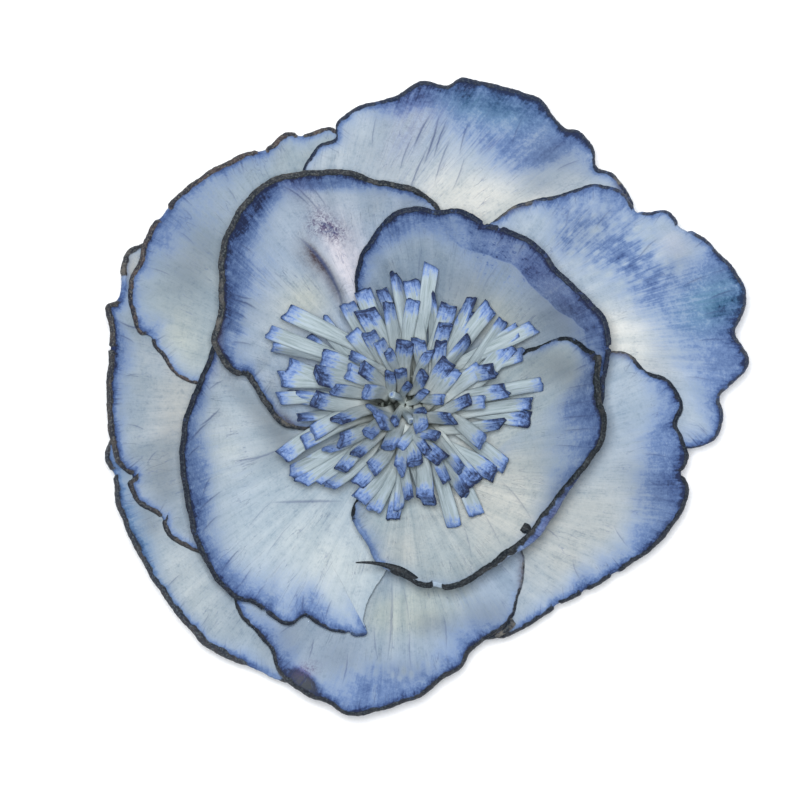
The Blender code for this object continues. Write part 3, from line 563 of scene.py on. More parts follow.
                 (13.6, 23.6, 15, 25.6, 0.1, 0.06, 0.7), (25.4, 14, 27, 15.2, 0.1, 0.07, 0.7),
                 (16.8, 22.4, 17.8, 24.2, 0.1, 0.06, 0.7), (24, 8.6, 28.6, 10.4, 0.2, 0.06, 0.5),
                 (11.5, 17, 14.5, 21.4, 0.3, 0.05, 0.35), (2, 18, 2.6, 24, 0.2, 0.05, 0.35)),
        washes=dict(
            crisp=((19.5, 18.5, 17, 9, -42, 1.25),),
            speck=((15, 22, 7, 3.5, -40, 1),),
            cream=((12.5, 13.5, 6, 4.5, -40, 1.2),),
            blue=((13, 20, 7, 2.5, -40, 0.2), (25.5, 8, 7, 3, 80, 0.35), (9.5, 18, 4, 3, 0, 0.14),
                  (0, 27, 4, 2.4, 40, 0.45)),
            violet=((20, 20, 11, 3, -42, 0.2),),
            grey=((23, 13, 6, 3.5, -50, 0.65), (9.5, 18, 4, 3, 0, 0.35), (25, 5, 3, 2.5, 0, 0.3)))),
    "inner_petal_2": dict(
        tier="inner", azimuth=-40, seat=8.7, rise=13.5, bark=0.34, rays_from=(0, -9),
        roll=(-43, 32, 3.1), bark_hues=("#121920", "#202327", "#394145"),
        cool="#A6B2B6", warm="#C5C6C0",
        rim=((-8, -16.3, 1.6, 3, 0.5), (-6.3, -20, 2, 3, 0.5), (-4, -23.8, 2.2, 3, 0.4),
             (0.2, -25.7, 2.4, 2.5, 0.3), (3, -26.9, 2.4, 2.5, 0.2), (7, -27.1, 2.6, 2.5, 0.2),
             (10.8, -25.3, 3, 2.5, 0.22), (14.1, -22.5, 3.6, 3, 0.3), (18.1, -19.3, 4, 4, 0.45),
             (21.4, -15, 4.2, 5.5, 0.7), (23.9, -12.1, 4, 7, 0.95), (26.7, -9, 3.4, 8.5, 1),
             (28.9, -5.9, 2.8, 11, 1), (29.7, -2.3, 2.4, 12, 1), (28.8, 1.2, 2.2, 12, 1),
             (28.7, 4.5, 2, 11, 1), (28.7, 7.3, 1.8, 5, 0.9), (27, 8.3, 1.6, 3, 0.7),
             (24.6, 9.9, 1.6, 1.5, 0.5), (21.8, 9.5, 1.4, 1.5, 0.5), (17.9, 8, 1, 1.5, 0.45),
             (12.5, 6.2, 0.2, 1, 0.2), (6.4, 3.8), (7.5, -0.6), (5.6, -4.8), (2.2, -7.1),
             (-1.7, -7.1), (-5.4, -11.6, 0.4, 1, 0.1)),
        knots=((16.5, -21, 7, 1.9), (27, -9, 6, 0.6), (29.3, 4.5, 4.5, 1.6), (24.2, 9.8, 4.5, 0.5)),
        gaps=((4.8, -27.5, 0.8), (-5.2, -21.3, 5.2), (28.2, 7.6, 0.35)),
        splinters=((2.4, -26.7, 21.1, -7.3, -23.5, 22, 0.62, -0.1, 0),
                   (17.5, -18.1, 21.4, 19.4, -19.3, 21.5, 0.8, 0, 0)),
        creases=((23, -2, 28.8, -1.6, 0.1, 0.07, 0.7), (23.4, -3.9, 28.6, -3.5, 0.1, 0.06, 0.7),
                 (24.6, 0.2, 28.6, 0.6, 0.1, 0.06, 0.6), (24, 2.4, 28.2, 3.2, 0.1, 0.06, 0.6),
                 (22, -6, 27.6, -6.4, 0.1, 0.05, 0.5), (14.3, -11.3, 19, -17.3, 0.4, 0.06, 0.45),
                 (8.6, -17.4, 10, -23.4, 0.2, 0.05, 0.4), (25, 5, 27.6, 6.2, 0.1, 0.06, 0.6),
                 (11, -15, 14.6, -21.6, 0.2, 0.05, 0.4)),
        # The grey at 23.4, 5.6 is painted shade in the pocket under the rim, and the small cream
        # near -0.5, -21.5 is partly painted light where the tuft shades the pith.
        washes=dict(
            cream=((13, -13, 10, 8, -40, 1.2), (-0.5, -21.5, 3.5, 3, 0, 0.6)),
            grey=((20, -8, 3.5, 3.5, 0, 0.22), (24, -2, 5, 4, 80, 0.2),
                  (23, -13.5, 4, 1.8, 60, 0.5), (23.4, 5.6, 6, 3.6, -20, 0.82)),
            blue=((20, -19, 6, 1.3, 47, 0.35), (25, -1, 8, 4, 80, 0.2)),
            violet=((22, -17, 5, 1, 50, 0.5),),
            brown=((29.4, 4.6, 4, 0.8, 88, 0.6),))),
}

# Blue, teal and violet are dye, brown is dirt, and cream and blush are warm pith. Grey is
# painted shade where higher petals, folds and the tuft shade the pith, in a few places also
# the pith's grey tone. Some cream and blush, and the brown along the tuck, are partly painted
# light and shade as well.
# Mottle is pale spots in the dye, streak is dark rays, speck is splashed dye, and crisp is
# where the dye's front is sharp. The petal's mesh carries them in twelve places.
WASH_KINDS = ("blue", "teal", "violet", "brown", "cream", "blush", "mottle", "streak", "speck",
              "crisp", "grey")
WASH_PLACES = 12
PLAIN_EDGE = (0, 1, 0)  # lift, dye's reach and strength of a rim row that gives none
PLAIN_BARK = ("#141B28", "#262A34", "#3A444C")
SPLINE_STEPS = 24  # points of the smooth curve for each row of the rim
RAGGED_RADII = (9, 14)  # the rim grows ragged between these distances from the axis
BARK_FADE = 2  # the bark grows to its width over this distance from where it starts
GAP_ENDS = (0.75, 1.15)  # shares of a gap's half length between which the bark comes back
KNOT_ENDS = (0.5, 1.2)  # the same for a knot
BARK_SIDE = (0.75, 1.15)  # shares of the bark's width between which its step lies
RIM_BLOCKS = 13  # distances from the rim are taken for this many blocks of columns in turn
EDGE_THICKENED = 0.03  # how much half the edge's thickness is more than half the petal's
FAN_RADIUS = 30  # millimetres along the pattern of the rays for a radian round their middle
RIM_PATTERN_STEP = 7  # how far a petal's patterns lie from the last petal's
RAY_PATTERN_STEP = 11
SPLINTER_RINGS = 24
SPLINTER_COLUMNS = 12


def rounded_outline(rows, count):
    """A closed smooth curve through the rows (Catmull-Rom: each piece is a cubic whose end
    slopes are half the step between its neighbours), as count points equally far apart in
    plan, with how far along each is and the whole length. It starts nearest the axis."""
    q = np.array([row + PLAIN_EDGE[len(row) - 2:] for row in rows], float)[:, None]
    p, r, s = (np.roll(q, step, 0) for step in (1, -1, -2))
    t = (np.arange(SPLINE_STEPS) / SPLINE_STEPS)[None, :, None]
    fine = 0.5 * (2 * q + (r - p) * t + (2 * p - 5 * q + 4 * r - s) * t ** 2
                  + (3 * q - p - 3 * r + s) * t ** 3)
    fine = fine.reshape(-1, fine.shape[-1])
    fine = np.roll(fine, -np.argmin(np.hypot(fine[:, 0], fine[:, 1])), 0)
    fine = np.concatenate([fine, fine[:1]])
    walked = np.concatenate([[0], np.cumsum(np.hypot(*np.diff(fine[:, :2], axis=0).T))])
    along = walked[-1] * np.arange(count) / count
    outline = np.stack([np.interp(along, walked, column) for column in fine.T], axis=-1)
    return outline, along, walked[-1]


def distance_along(outline, along, around, x, y):
    """How far each point of a closed outline is from the one nearest a place, along it."""
    at = along[np.argmin(np.hypot(outline[:, 0] - x, outline[:, 1] - y))]
    return np.abs((along - at + around / 2) % around - around / 2)


def waves(place, around, number, lengths, depth, seed):
    """A sum of sines along a closed line, each as deep as its share of depth and fitted a
    whole number of times into the line's length. The petal's number changes their phases."""
    phases = np.random.default_rng(number + seed).uniform(0, 2 * np.pi, len(lengths))
    return sum(depth * np.sin(2 * np.pi * round(around / length) * place / around + phase)
               for length, phase in zip(lengths, phases)) / np.sqrt(len(lengths))


def turn_between(azimuth, x, y):
    """Degrees from an azimuth round the core to a place, from -180 to 180."""
    return (np.degrees(np.arctan2(y, x)) - azimuth + 180) % 360 - 180


def petal_middle(petal, centre, edge, stretch, part_out):
    """The petal's middle surface: this part of the way from its centre to each point of its
    edge. Its height is the seat, the climb round the core, the bowl as a power of how far
    out it is, and the edge's lift as the fourth power of the way out, which `stretch` evens
    out where the edge is notched."""
    reach, power, slope = TIERS[petal["tier"]]
    x = centre[0] + (edge[:, 0] - centre[0]) * part_out
    y = centre[1] + (edge[:, 1] - centre[1]) * part_out
    edge_radius = np.hypot(edge[:, 0], edge[:, 1])
    if "roll" in petal:
        azimuth, half_width, amount = petal["roll"]
        turned = turn_between(azimuth, edge[:, 0], edge[:, 1])
        share = np.maximum(0, 1 - (turned / half_width) ** 2) * (edge_radius > reach / 2)
        push = amount * share * np.sin(np.pi * part_out ** 3)
        x = x + push * edge[:, 0] / edge_radius
        y = y + push * edge[:, 1] / edge_radius
    out = np.maximum(np.hypot(x, y) - ROOT_RADIUS, 0) / (reach - ROOT_RADIUS)
    z = (petal["seat"] + slope * turn_between(petal["azimuth"], x, y)
         + petal["rise"] * out ** power + edge[:, 2] * (part_out * stretch) ** LIFT_POWER)
    return np.stack([x, y, z], axis=-1)


def unit(vectors):
    """The vectors at length 1."""
    return vectors / np.maximum(np.linalg.norm(vectors, axis=-1, keepdims=True), 1e-9)


def with_poles(values, shape, top, bottom):
    """Values for every point of closed skins with this shape of rings and columns: the
    rings' values between those of the two poles."""
    full = np.broadcast_to(values, shape).reshape(*shape[:-2], -1)
    pole = np.ones((*shape[:-2], 1))
    return np.concatenate([top * pole, full, bottom * pole], axis=-1)


def ragged_outline(petal, number, outline, along, around):
    """The outline with its rim ragged, and set back where bark has flaked off. Also how much
    of its bark each point has, which is none near the core or where it has flaked off."""
    radius = np.hypot(outline[:, 0], outline[:, 1])
    gap = np.zeros(OUTLINE_COLUMNS)
    for x, y, half_length in petal.get("gaps", ()):
        apart = distance_along(outline, along, around, x, y)
        full, none = (share * half_length for share in GAP_ENDS)
        gap = np.maximum(gap, 1 - smooth_step(full, none + 0.15, apart))
    barked = smooth_step(BARK_FROM_AXIS, BARK_FROM_AXIS + BARK_FADE, radius) * (1 - gap)
    tangent = unit(np.roll(outline, -1, 0)[:, :2] - np.roll(outline, 1, 0)[:, :2])
    outward = np.stack([tangent[:, 1], -tangent[:, 0]], axis=-1)
    rags = waves(along, around, number, *FINE_RAGS) + waves(along, around, number, *BROAD_RAGS)
    shift = rags * smooth_step(*RAGGED_RADII, radius) - FLAKE_SETBACK * gap
    ragged = outline.copy()
    ragged[:, :2] += outward * shift[:, None]
    return ragged, barked


def bowed_middle(petal, number, outline, centre, parts):
    """The petal's middle surface in rings from its centre to its outline. The edge's lift is
    evened out over its bearing round the centre, and the rim swells in slow waves."""
    bearing = np.arctan2(outline[:, 1] - centre[1], outline[:, 0] - centre[0])
    apart = (bearing[:, None] - bearing + np.pi) % (2 * np.pi) - np.pi
    turned = (np.roll(bearing, -1) - np.roll(bearing, 1) + np.pi) % (2 * np.pi) - np.pi
    evening = np.exp(-(apart / EVENED_BEARING) ** 2) * np.abs(turned)
    evening /= evening.sum(axis=1, keepdims=True)
    edge = np.column_stack([outline[:, :2], evening @ outline[:, 2]])
    away = np.hypot(*(outline[:, :2] - centre).T)
    stretch = np.clip(away / (evening @ away), 0.95, 1.03)
    middle = np.stack([petal_middle(petal, centre, edge, stretch, part) for part in parts])
    swell = waves(bearing, 2 * np.pi, number, *SWELL) * np.minimum(edge[:, 2], 1)
    middle[..., 2] += swell * parts[:, None] ** 3
    if "shape" in petal:
        middle[..., 2] += petal["shape"](middle[..., 0], middle[..., 1])
    return middle


def in_threes(washes):
    """Rows of wash strengths as attributes of three numbers a point."""
    return {f"wash_{i}": washes[3 * i:3 * i + 3].T for i in range(WASH_PLACES // 3)}


def stains(points, washes):
    """Wash strengths at the points: each stain falls off as a bell from its middle."""
    strengths = np.zeros((WASH_PLACES, len(points)))
    for kind, places in washes.items():
        for x, y, long, wide, turn, strength in places:
            turn = np.radians(turn)
            u = (points[:, 0] - x) * np.cos(turn) + (points[:, 1] - y) * np.sin(turn)
            v = (points[:, 1] - y) * np.cos(turn) - (points[:, 0] - x) * np.sin(turn)
            bell = np.exp(-(u / long) ** 2 - (v / wide) ** 2)
            strengths[WASH_KINDS.index(kind)] += strength * bell
    return in_threes(strengths)


def petal_skin(petal, number):
    """A petal's closed skin. Rings run from the middle of its face out to the rim, over a
    rounded edge and back underneath, half a thickness from the middle surface along its
    normal. The bark stands a little proud of the pith. Returns points and attributes."""
    outline, along, around = rounded_outline(petal["rim"], OUTLINE_COLUMNS)
    centre = outline[:, :2].mean(axis=0)
    outline, barked = ragged_outline(petal, number, outline, along, around)
    parts = 1 - (1 - np.arange(TOP_RINGS + 1) / TOP_RINGS) ** RING_CROWDING
    middle = bowed_middle(petal, number, outline, centre, parts)
    round_step = np.roll(middle, -1, 1) - np.roll(middle, 1, 1)
    normal = unit(np.cross(np.gradient(middle, axis=0), round_step))
    normal[0] = unit(normal[1].mean(axis=0))
    rim_out = unit(np.cross(round_step[-1], normal[-1]))

    from_rim = np.stack([np.concatenate([
        np.linalg.norm(block[:, None] - middle[-1], axis=-1).min(axis=1)
        for block in np.split(ring, RIM_BLOCKS)]) for ring in middle])
    bark_width = petal["bark"] * barked * (1 + waves(along, around, number, *BARK_WIDTHS))
    for x, y, half_length, factor in petal.get("knots", ()):
        apart = distance_along(outline, along, around, x, y)
        bark_width *= 1 + (factor - 1) * (1 - smooth_step(*KNOT_ENDS, apart / half_length))
    on_bark = 1 - smooth_step(*BARK_SIDE, from_rim / np.maximum(bark_width, 0.01))
    lumps = waves(along, around, number, *BARK_LUMPS)
    proud = on_bark * (barked > 0.3) * (BARK_HEIGHT + lumps)
    top = middle + normal * (HALF_THICKNESS + proud)[..., None]

    quarter = np.pi * (np.arange(1, EDGE_ROWS + 1) / (EDGE_ROWS + 1))[:, None, None]
    edge = (middle[-1] + normal[-1] * np.cos(quarter) * (HALF_THICKNESS + EDGE_THICKENED)
            + rim_out * np.sin(quarter) * EDGE_BULGE)
    under_parts = 1 - (np.arange(UNDER_RINGS) / UNDER_RINGS) ** UNDER_CROWDING
    at = np.searchsorted(parts, under_parts).clip(1, TOP_RINGS)
    share = ((under_parts - parts[at - 1]) / (parts[at] - parts[at - 1]))[:, None, None]
    under = (middle[at - 1] * (1 - share) + middle[at] * share
             - unit(normal[at - 1] * (1 - share) + normal[at] * share) * HALF_THICKNESS)
    under_rim = from_rim[at - 1] * (1 - share[..., 0]) + from_rim[at] * share[..., 0]
    rings = np.concatenate([top[1:], edge, under])
    poles = top[0].mean(axis=0), middle[0].mean(axis=0) - normal[0, 0] * HALF_THICKNESS
    points = np.concatenate([[poles[0]], rings.reshape(-1, 3), [poles[1]]])

    spread = partial(with_poles, shape=rings.shape[:2])
    everywhere = np.ones(len(points))
    inset = np.concatenate([from_rim[1:], np.zeros((EDGE_ROWS, OUTLINE_COLUMNS)), under_rim])
    inmost = from_rim[0].mean()
    reach = points[:, :2] - petal["rays_from"]
    towards = centre - petal["rays_from"]
    fan = np.radians(turn_between(np.degrees(np.arctan2(towards[1], towards[0])), *reach.T))
    attributes = {
        "rim": (spread(along, top=0, bottom=0), spread(inset, top=inmost, bottom=inmost),
                RIM_PATTERN_STEP * number * everywhere),
        "rays": (FAN_RADIUS * fan, np.hypot(*reach.T), RAY_PATTERN_STEP * number * everywhere),
        "soak": (spread(np.maximum(outline[:, 3], 0.5), top=3, bottom=3),
                 spread(np.clip(outline[:, 4], 0, 1), top=0, bottom=0),
                 spread(bark_width, top=0, bottom=0)),
    }
    attributes = {name: np.stack(values, axis=-1) for name, values in attributes.items()}
    return points, attributes | stains(points, petal["washes"])


def splinter_skin(x0, y0, z0, x1, y1, z1, thick, bow, brown, number):
    """A splinter of bark stripped from a rim: a bar that starts at the first place and
    tapers to a point at the second, bowed and lumpy. `thick` is half its thickness at the
    start, `bow` a share of its length, and `brown` how brown it is. Returns points and
    attributes."""
    s = np.linspace(0, 1, SPLINTER_RINGS)[:, None]
    start, end = np.array([x0, y0, z0]), np.array([x1, y1, z1])
    along = unit(end - start)
    side = unit(np.cross([0, 0, 1], along))
    spine = start + (end - start) * s + side * bow * np.linalg.norm(end - start) * s * (1 - s) * 4
    half = thick * (1 - 0.85 * s ** 1.6) * (1 + 0.15 * np.sin(9 * s + number))
    turn = -2 * np.pi * np.arange(SPLINTER_COLUMNS) / SPLINTER_COLUMNS
    rings = (spine[:, None] + side * (half * np.cos(turn))[..., None]
             + np.cross(along, side) * (0.75 * half * np.sin(turn))[..., None])
    points = np.concatenate([spine[:1], rings.reshape(-1, 3), spine[-1:] + along * 0.1])
    washes = np.zeros((WASH_PLACES, len(points)))
    washes[WASH_KINDS.index("brown")] = brown
    attributes = in_threes(washes)
    for name, values in (("rim", (0, 0, RIM_PATTERN_STEP * number)),
                         ("rays", (0, 0, RAY_PATTERN_STEP * number)), ("soak", (1, 0, 0.8))):
        attributes[name] = np.tile(values, (len(points), 1))
    return points, attributes


# The pith's patterns: what each follows, how many of it go into a unit along three axes,
# and the noise's detail, roughness and distortion. The attribute "rays" runs across and
# along the pith's rays and "rim" along and in from the rim, both in millimetres, and
# "place" is in metres: rays are 0.4 mm across and 8 long, clouds 5 mm, grain 0.4 mm.
PITH_NOISES = {
    "ray": ("rays", (2.4, 0.13, 1), 4, 0.62, 0.15),
    "fibre": ("rays", (6, 0.5, 1), 2, 0.5, 0),
    "pleat": ("rays", (0.42, 0.035, 1), 3, 0.5, 0),
    "streak": ("rays", (4, 0.16, 1), 2, 0.5, 0),
    "hair": ("rays", (0.8, 0.11, 1), 3, 0.5, 0.4),
    "uneven": ("rim", (0.22, 0.05, 1), 2, 0.5, 0),
    "bleed": ("rim", (2.6, 0.16, 1), 2, 0.5, 0),
    "cloud": ("place", (190, 190, 190), 4, 0.6, 0),
    "bark": ("place", (620, 620, 620), 5, 0.7, 0),
    "bark_edge": ("place", (700, 700, 700), 5, 0.65, 0),
    "blotch": ("place", (800, 800, 800), 5, 0.7, 0),
    "stain": ("place", (1400, 1400, 1400), 4, 0.75, 1.5),
    "speck": ("place", (1500, 1500, 1500), 2, 0.5, 0),
    "grain": ("place", (2600, 2600, 2600), 3, 0.7, 0),
    "fleck": ("place", (3200, 3200, 3200), 2, 0.5, 0),
}
DYES = {  # from hardly dyed to soaked
    "blue": ((0, "#98A8BC"), (0.25, "#7B90B2"), (0.5, "#5D749C"), (0.75, "#3F5581"),
             (1, "#202A48")),
    "teal": ((0, "#8CA3AF"), (0.4, "#5B809A"), (0.8, "#315874"), (1, "#1B3450")),
    "violet": ((0, "#A29FB8"), (0.5, "#6A709E"), (1, "#2A2C58")),
}
# Colours mixed over the pith: grey is painted shade, the crease colour is painted shade along
# creases, and the rest are stains, streaks and dye lines.
STAIN_AND_SHADE_COLOURS = {
    "grey": "#40454B", "violet": "#4E4664", "brown": "#473A37", "streak": "#4E5E8C",
    "hair": "#55658A", "crease": "#37456B", "bleed": "#222F58",
}
WORN_BARK = "#63615D"
BLUSH = "#CFC9CE"
RAY_SHADES = (0.38, "#D3DAE2"), (0.49, "#F4F6F8"), (0.6, "#FFFFFF")
PAINTED_PLEAT_SHADE = (0.36, "#E6EBEF"), (0.62, "#FFFFFF")


def weighed(add, total, *parts):
    """A starting value plus each part times its weight."""
    for weight, part in parts:
        total = add("Math.MULTIPLY_ADD", (part, weight, total))
    return total


def dye_strength(add, noise, wash, soak, inset):
    """How strongly the pith is dyed. The dye fades from the rim to a front that rays and
    clouds make ragged, or that is sharp where it is crisp. It varies along the rim, is
    stronger beside the bark and sinks into the pith's grain, and washes add to it."""
    reach, strength, bark_width = soak
    crisp = add("Math.MULTIPLY", (wash["crisp"], 0.8), use_clamp=True)
    wobble = weighed(add, -0.65, (0.4, noise["ray"]), (0.9, noise["cloud"]))
    front = add("Math.MULTIPLY_ADD", (wobble, add("Math.SUBTRACT", (1, crisp)),
                                      add("Math.DIVIDE", (inset, reach))))
    soft = add("Math.POWER", (add("MapRange", (front, 0, 1.3, 1, 0)), 1.5))
    soft = add("Math.MULTIPLY", (soft, 0.66))
    hard = add("MapRange", (front, 0.74, 0.82, 0.6, 0), interpolation_type="SMOOTHSTEP")
    rim_dye = add("Math.MAXIMUM", (soft, add("Math.MULTIPLY", (hard, crisp))))
    beside_bark = add("MapRange", (add("Math.SUBTRACT", (inset, bark_width)), 0,
                                   weighed(add, -0.2, (2.2, noise["ray"])), 0.4, 0))
    uneven = add("MapRange", (noise["uneven"], 0.35, 0.62, 0.66, 1.15))
    dye = add("Math.MULTIPLY", (add("Math.MULTIPLY", (strength, uneven)),
                                add("Math.ADD", (rim_dye, beside_bark))))
    for kind, amount in (
            ("blue", weighed(add, -0.35, (1.3, noise["ray"]), (0.9, noise["cloud"]))),
            ("speck", add("MapRange", (noise["speck"], 0.6, 0.68, 0, 0.3))),
            ("mottle", add("MapRange", (noise["spots"], 0.15, 0.55, -0.22, 0.06),
                           interpolation_type="SMOOTHSTEP"))):
        dye = add("Math.MULTIPLY_ADD", (wash[kind], amount, dye))
    sunk_in = weighed(add, -0.95, (2.6, noise["paper"]), (1.3, noise["cloud"]))
    return add("Math.MULTIPLY", (dye, sunk_in), use_clamp=True)


def painted_crease_shade(add, place, blotch, creases):
    """Painted shade along the creases: how dark each crease's line is, with a little painted
    shadow on the side it bows away from. Each runs from x0, y0 to x1, y1, bowed to one side as
    a parabola `bow` mm high and wavering with the pith's blotches, and is thin at both ends. It
    is worked out in a space where it runs from 0 to 1 along X and Y is in millimetres."""
    creased = 0
    for x0, y0, x1, y1, bow, half_width, strength in creases:
        there = add("Mapping", {
            "Vector": place, "Location": (x0 * MM, y0 * MM, 0),
            "Rotation": (0, 0, np.arctan2(y1 - y0, x1 - x0)),
            "Scale": (np.hypot(x1 - x0, y1 - y0) * MM, MM, 1)}, vector_type="TEXTURE")
        there = add("SeparateXYZ", (there,)).outputs
        hump = add("Math.MULTIPLY", (add("Math.MULTIPLY", (there["X"], 4)),
                                     add("Math.SUBTRACT", (1, there["X"]))), use_clamp=True)
        aside = weighed(add, add("Math.ADD", (there["Y"], 0.15)), (-bow, hump), (-0.3, blotch))
        away = add("Math.ABSOLUTE", (aside,))
        width = add("Math.MULTIPLY", (add("Math.POWER", (hump, 0.5)), 2.6 * half_width))
        line = add("MapRange", (away, 0, width, 1, 0))
        shade = add("Math.MULTIPLY", (add("MapRange", (away, 0, 10 * half_width, 0.35, 0)),
                                      add("Math.LESS_THAN", (aside, 0))))
        ends = add("Math.MULTIPLY", (add("Math.POWER", (hump, 0.7)), 0.75 * strength))
        mark = add("Math.MULTIPLY", (add("Math.ADD", (line, shade), use_clamp=True), ends))
        creased = add("Math.MAXIMUM", (mark, creased))
    return creased


def pith_colour(add, noise, wash, dye, cool, warm):
    """The pith's colour: cool where it is thin and stained, warmer in the belly, blushed in
    places, with its rays a little darker and painted shade in bands across its soft pleats,
    and the dye over it."""
    belly = add("Math.MULTIPLY_ADD", (noise["cloud"], 0.8, add("Math.SUBTRACT", (
        wash["cream"], 0.4))), use_clamp=True)
    colour = add("Mix", (belly, linear(cool), linear(warm)), data_type="RGBA")
    blushed = add("Math.MULTIPLY", (wash["blush"], 0.75), use_clamp=True)
    colour = add("Mix", (blushed, colour, linear(BLUSH)), data_type="RGBA")
    # The rays darken the pith's own colour; the pleats' bands are painted shade.
    for lines, stops in (
            (weighed(add, 0, (0.8, noise["paper"]), (0.2, noise["fibre"])), RAY_SHADES),
            (noise["pleat"], PAINTED_PLEAT_SHADE)):
        shade = add("ValToRGB", (lines,), stops=stops)
        colour = add("Mix", (1, colour, shade), data_type="RGBA", blend_type="MULTIPLY")
    dye_colour = add("ValToRGB", (dye,), stops=DYES["blue"])
    for kind, amount in (("teal", noise["ray"]), ("violet", 0.8)):
        share = add("Math.MULTIPLY", (wash[kind], amount), use_clamp=True)
        other_dye = add("ValToRGB", (dye,), stops=DYES[kind])
        dye_colour = add("Mix", (share, dye_colour, other_dye), data_type="RGBA")
    covered = add("MapRange", (dye, 0, 0.42))
    return add("Mix", (covered, colour, dye_colour), data_type="RGBA")


def bark_colour(add, noise, brown_wash, dark, brown, grey):
    """The bark's colour: dark, browner by turns, with grey flecks, and worn pale where it
    is washed brown."""
    worn = add("Math.MULTIPLY", (brown_wash, add("MapRange", (noise["bark"], 0.45, 0.6))),
               use_clamp=True)
    colour = linear(dark)
    for share, hue in ((add("MapRange", (noise["bark"], 0.47, 0.6)), brown),
                       (add("MapRange", (noise["fleck"], 0.5, 0.68, 0, 0.75)), grey),
                       (worn, WORN_BARK)):
        colour = add("Mix", (share, colour, linear(hue)), data_type="RGBA")
    return colour


def dyed_pith(title, cool, warm, bark_hues, creases):
    """Pressed slice pith with a dyed rim and bark: matt and spongy, with fine rays. The dye
    is strong and nearly navy at the bark and runs inward along the rays to nothing."""
    material, add = new_material(title)
    place = add("TexCoord").outputs["Object"]
    rim, rays, soak, *washes = (
        add("Attribute", attribute_name=name).outputs["Vector"]
        for name in ("rim", "rays", "soak", "wash_0", "wash_1", "wash_2", "wash_3"))
    inset = add("SeparateXYZ", (rim,)).outputs["Y"]
    soak = add("SeparateXYZ", (soak,)).outputs
    _, dye_here, bark_width = soak
    wash = dict(zip(WASH_KINDS, (strength for three in washes
                                 for strength in add("SeparateXYZ", (three,)).outputs)))
    follows = {"rim": rim, "rays": rays, "place": place}
    noise = {name: add("TexNoise", {
        "Vector": add("Mapping", {"Vector": follows[along], "Scale": stretch}),
        "Scale": 1, "Detail": detail, "Roughness": roughness, "Distortion": distortion})
        for name, (along, stretch, detail, roughness, distortion) in PITH_NOISES.items()}
    noise["spots"] = add("TexVoronoi", {
        "Vector": add("Mapping", {"Vector": rays, "Scale": (0.95, 0.6, 1)}),
        "Scale": 1, "Randomness": 0.75}, feature="SMOOTH_F1")
    noise["cells"] = add("TexVoronoi", {"Vector": place, "Scale": 2400})
    noise["paper"] = weighed(add, 0, (0.34, noise["grain"]), (0.2, noise["ray"]),
                             (0.46, noise["blotch"]))
    dye = dye_strength(add, noise, wash, soak, inset)
    colour = pith_colour(add, noise, wash, dye, cool, warm)

    # Grey painted shade, violet and brown stains (the brown partly painted shade along the tuck),
    #     dark streaks and hair lines in the rays, painted shade along creases, and the short dark
    #     lines where dye bled off the bark.
    blotted = add("MapRange", (noise["stain"], 0.42, 0.62))
    streaks = add("Math.MULTIPLY", (wash["streak"], add("MapRange", (
        noise["streak"], 0.54, 0.66))), use_clamp=True)
    hair = add("Math.ABSOLUTE", (add("Math.SUBTRACT", (noise["hair"], 0.5)),))
    hair = add("Math.MULTIPLY", (add("MapRange", (hair, 0, 0.01, 1, 0)),
                                 add("MapRange", (noise["cloud"], 0.5, 0.62))))
    bled = add("MapRange", (add("Math.SUBTRACT", (inset, bark_width)), 0.2,
                            weighed(add, -1.5, (7, noise["cloud"])), 1, 0))
    bled = add("Math.MULTIPLY", (bled, add("MapRange", (noise["bleed"], 0.57, 0.7))))
    # Grey is painted shade; violet and brown are stains.
    for kind, least, part in (("grey", 0.3, (0.6, noise["paper"])), ("violet", 0, (0.8, blotted)),
                              ("brown", 0.5, (0.3, blotted))):
        share = add("Math.MULTIPLY", (wash[kind], weighed(add, least, part)), use_clamp=True)
        colour = add("Mix", (share, colour, linear(STAIN_AND_SHADE_COLOURS[kind])), data_type="RGBA")
    for kind, share in (("streak", add("Math.MULTIPLY", (streaks, 0.8))),
                        ("hair", add("Math.MULTIPLY", (hair, 0.5))),
                        ("crease", painted_crease_shade(add, place, noise["blotch"], creases)),
                        ("bleed", add("Math.MULTIPLY", (bled, add("Math.MULTIPLY", (
                            dye_here, 0.75)))))):
        colour = add("Mix", (share, colour, linear(STAIN_AND_SHADE_COLOURS[kind])), data_type="RGBA")

    # Bark lies over it all: thin, with a cracked inner edge, and smoother than the pith.
    bark = add("MapRange", (
        weighed(add, -0.5, (1, bark_width), (1, noise["bark_edge"]), (-1, inset)), -0.1, 0.14),
        interpolation_type="SMOOTHSTEP")
    bark = add("Math.MULTIPLY", (bark, add("MapRange", (bark_width, 0.02, 0.12))))
    over = bark_colour(add, noise, wash["brown"], *bark_hues)
    colour = add("Mix", (bark, colour, over), data_type="RGBA")

    roughness = weighed(add, add("MapRange", (bark, 0, 1, 0.76, 0.52)), (0.2, noise["grain"]))
    pith_height = weighed(add, 0, (0.4, noise["grain"]), (0.35, noise["cells"]),
                          (1.2, noise["ray"]), (-0.5, hair))
    bark_height = weighed(add, noise["bark"], (0.5, noise["fleck"]))
    height = add("Mix", (bark, pith_height, bark_height), data_type="FLOAT")
    bump = add("Bump", {"Height": height, "Distance": 0.07 * MM, "Strength": 0.9})
    add("OutputMaterial", (add("BsdfPrincipled", {
        "Base Color": colour, "Roughness": roughness, "Specular IOR Level": 0.2,
        "Normal": bump}),))
    return material


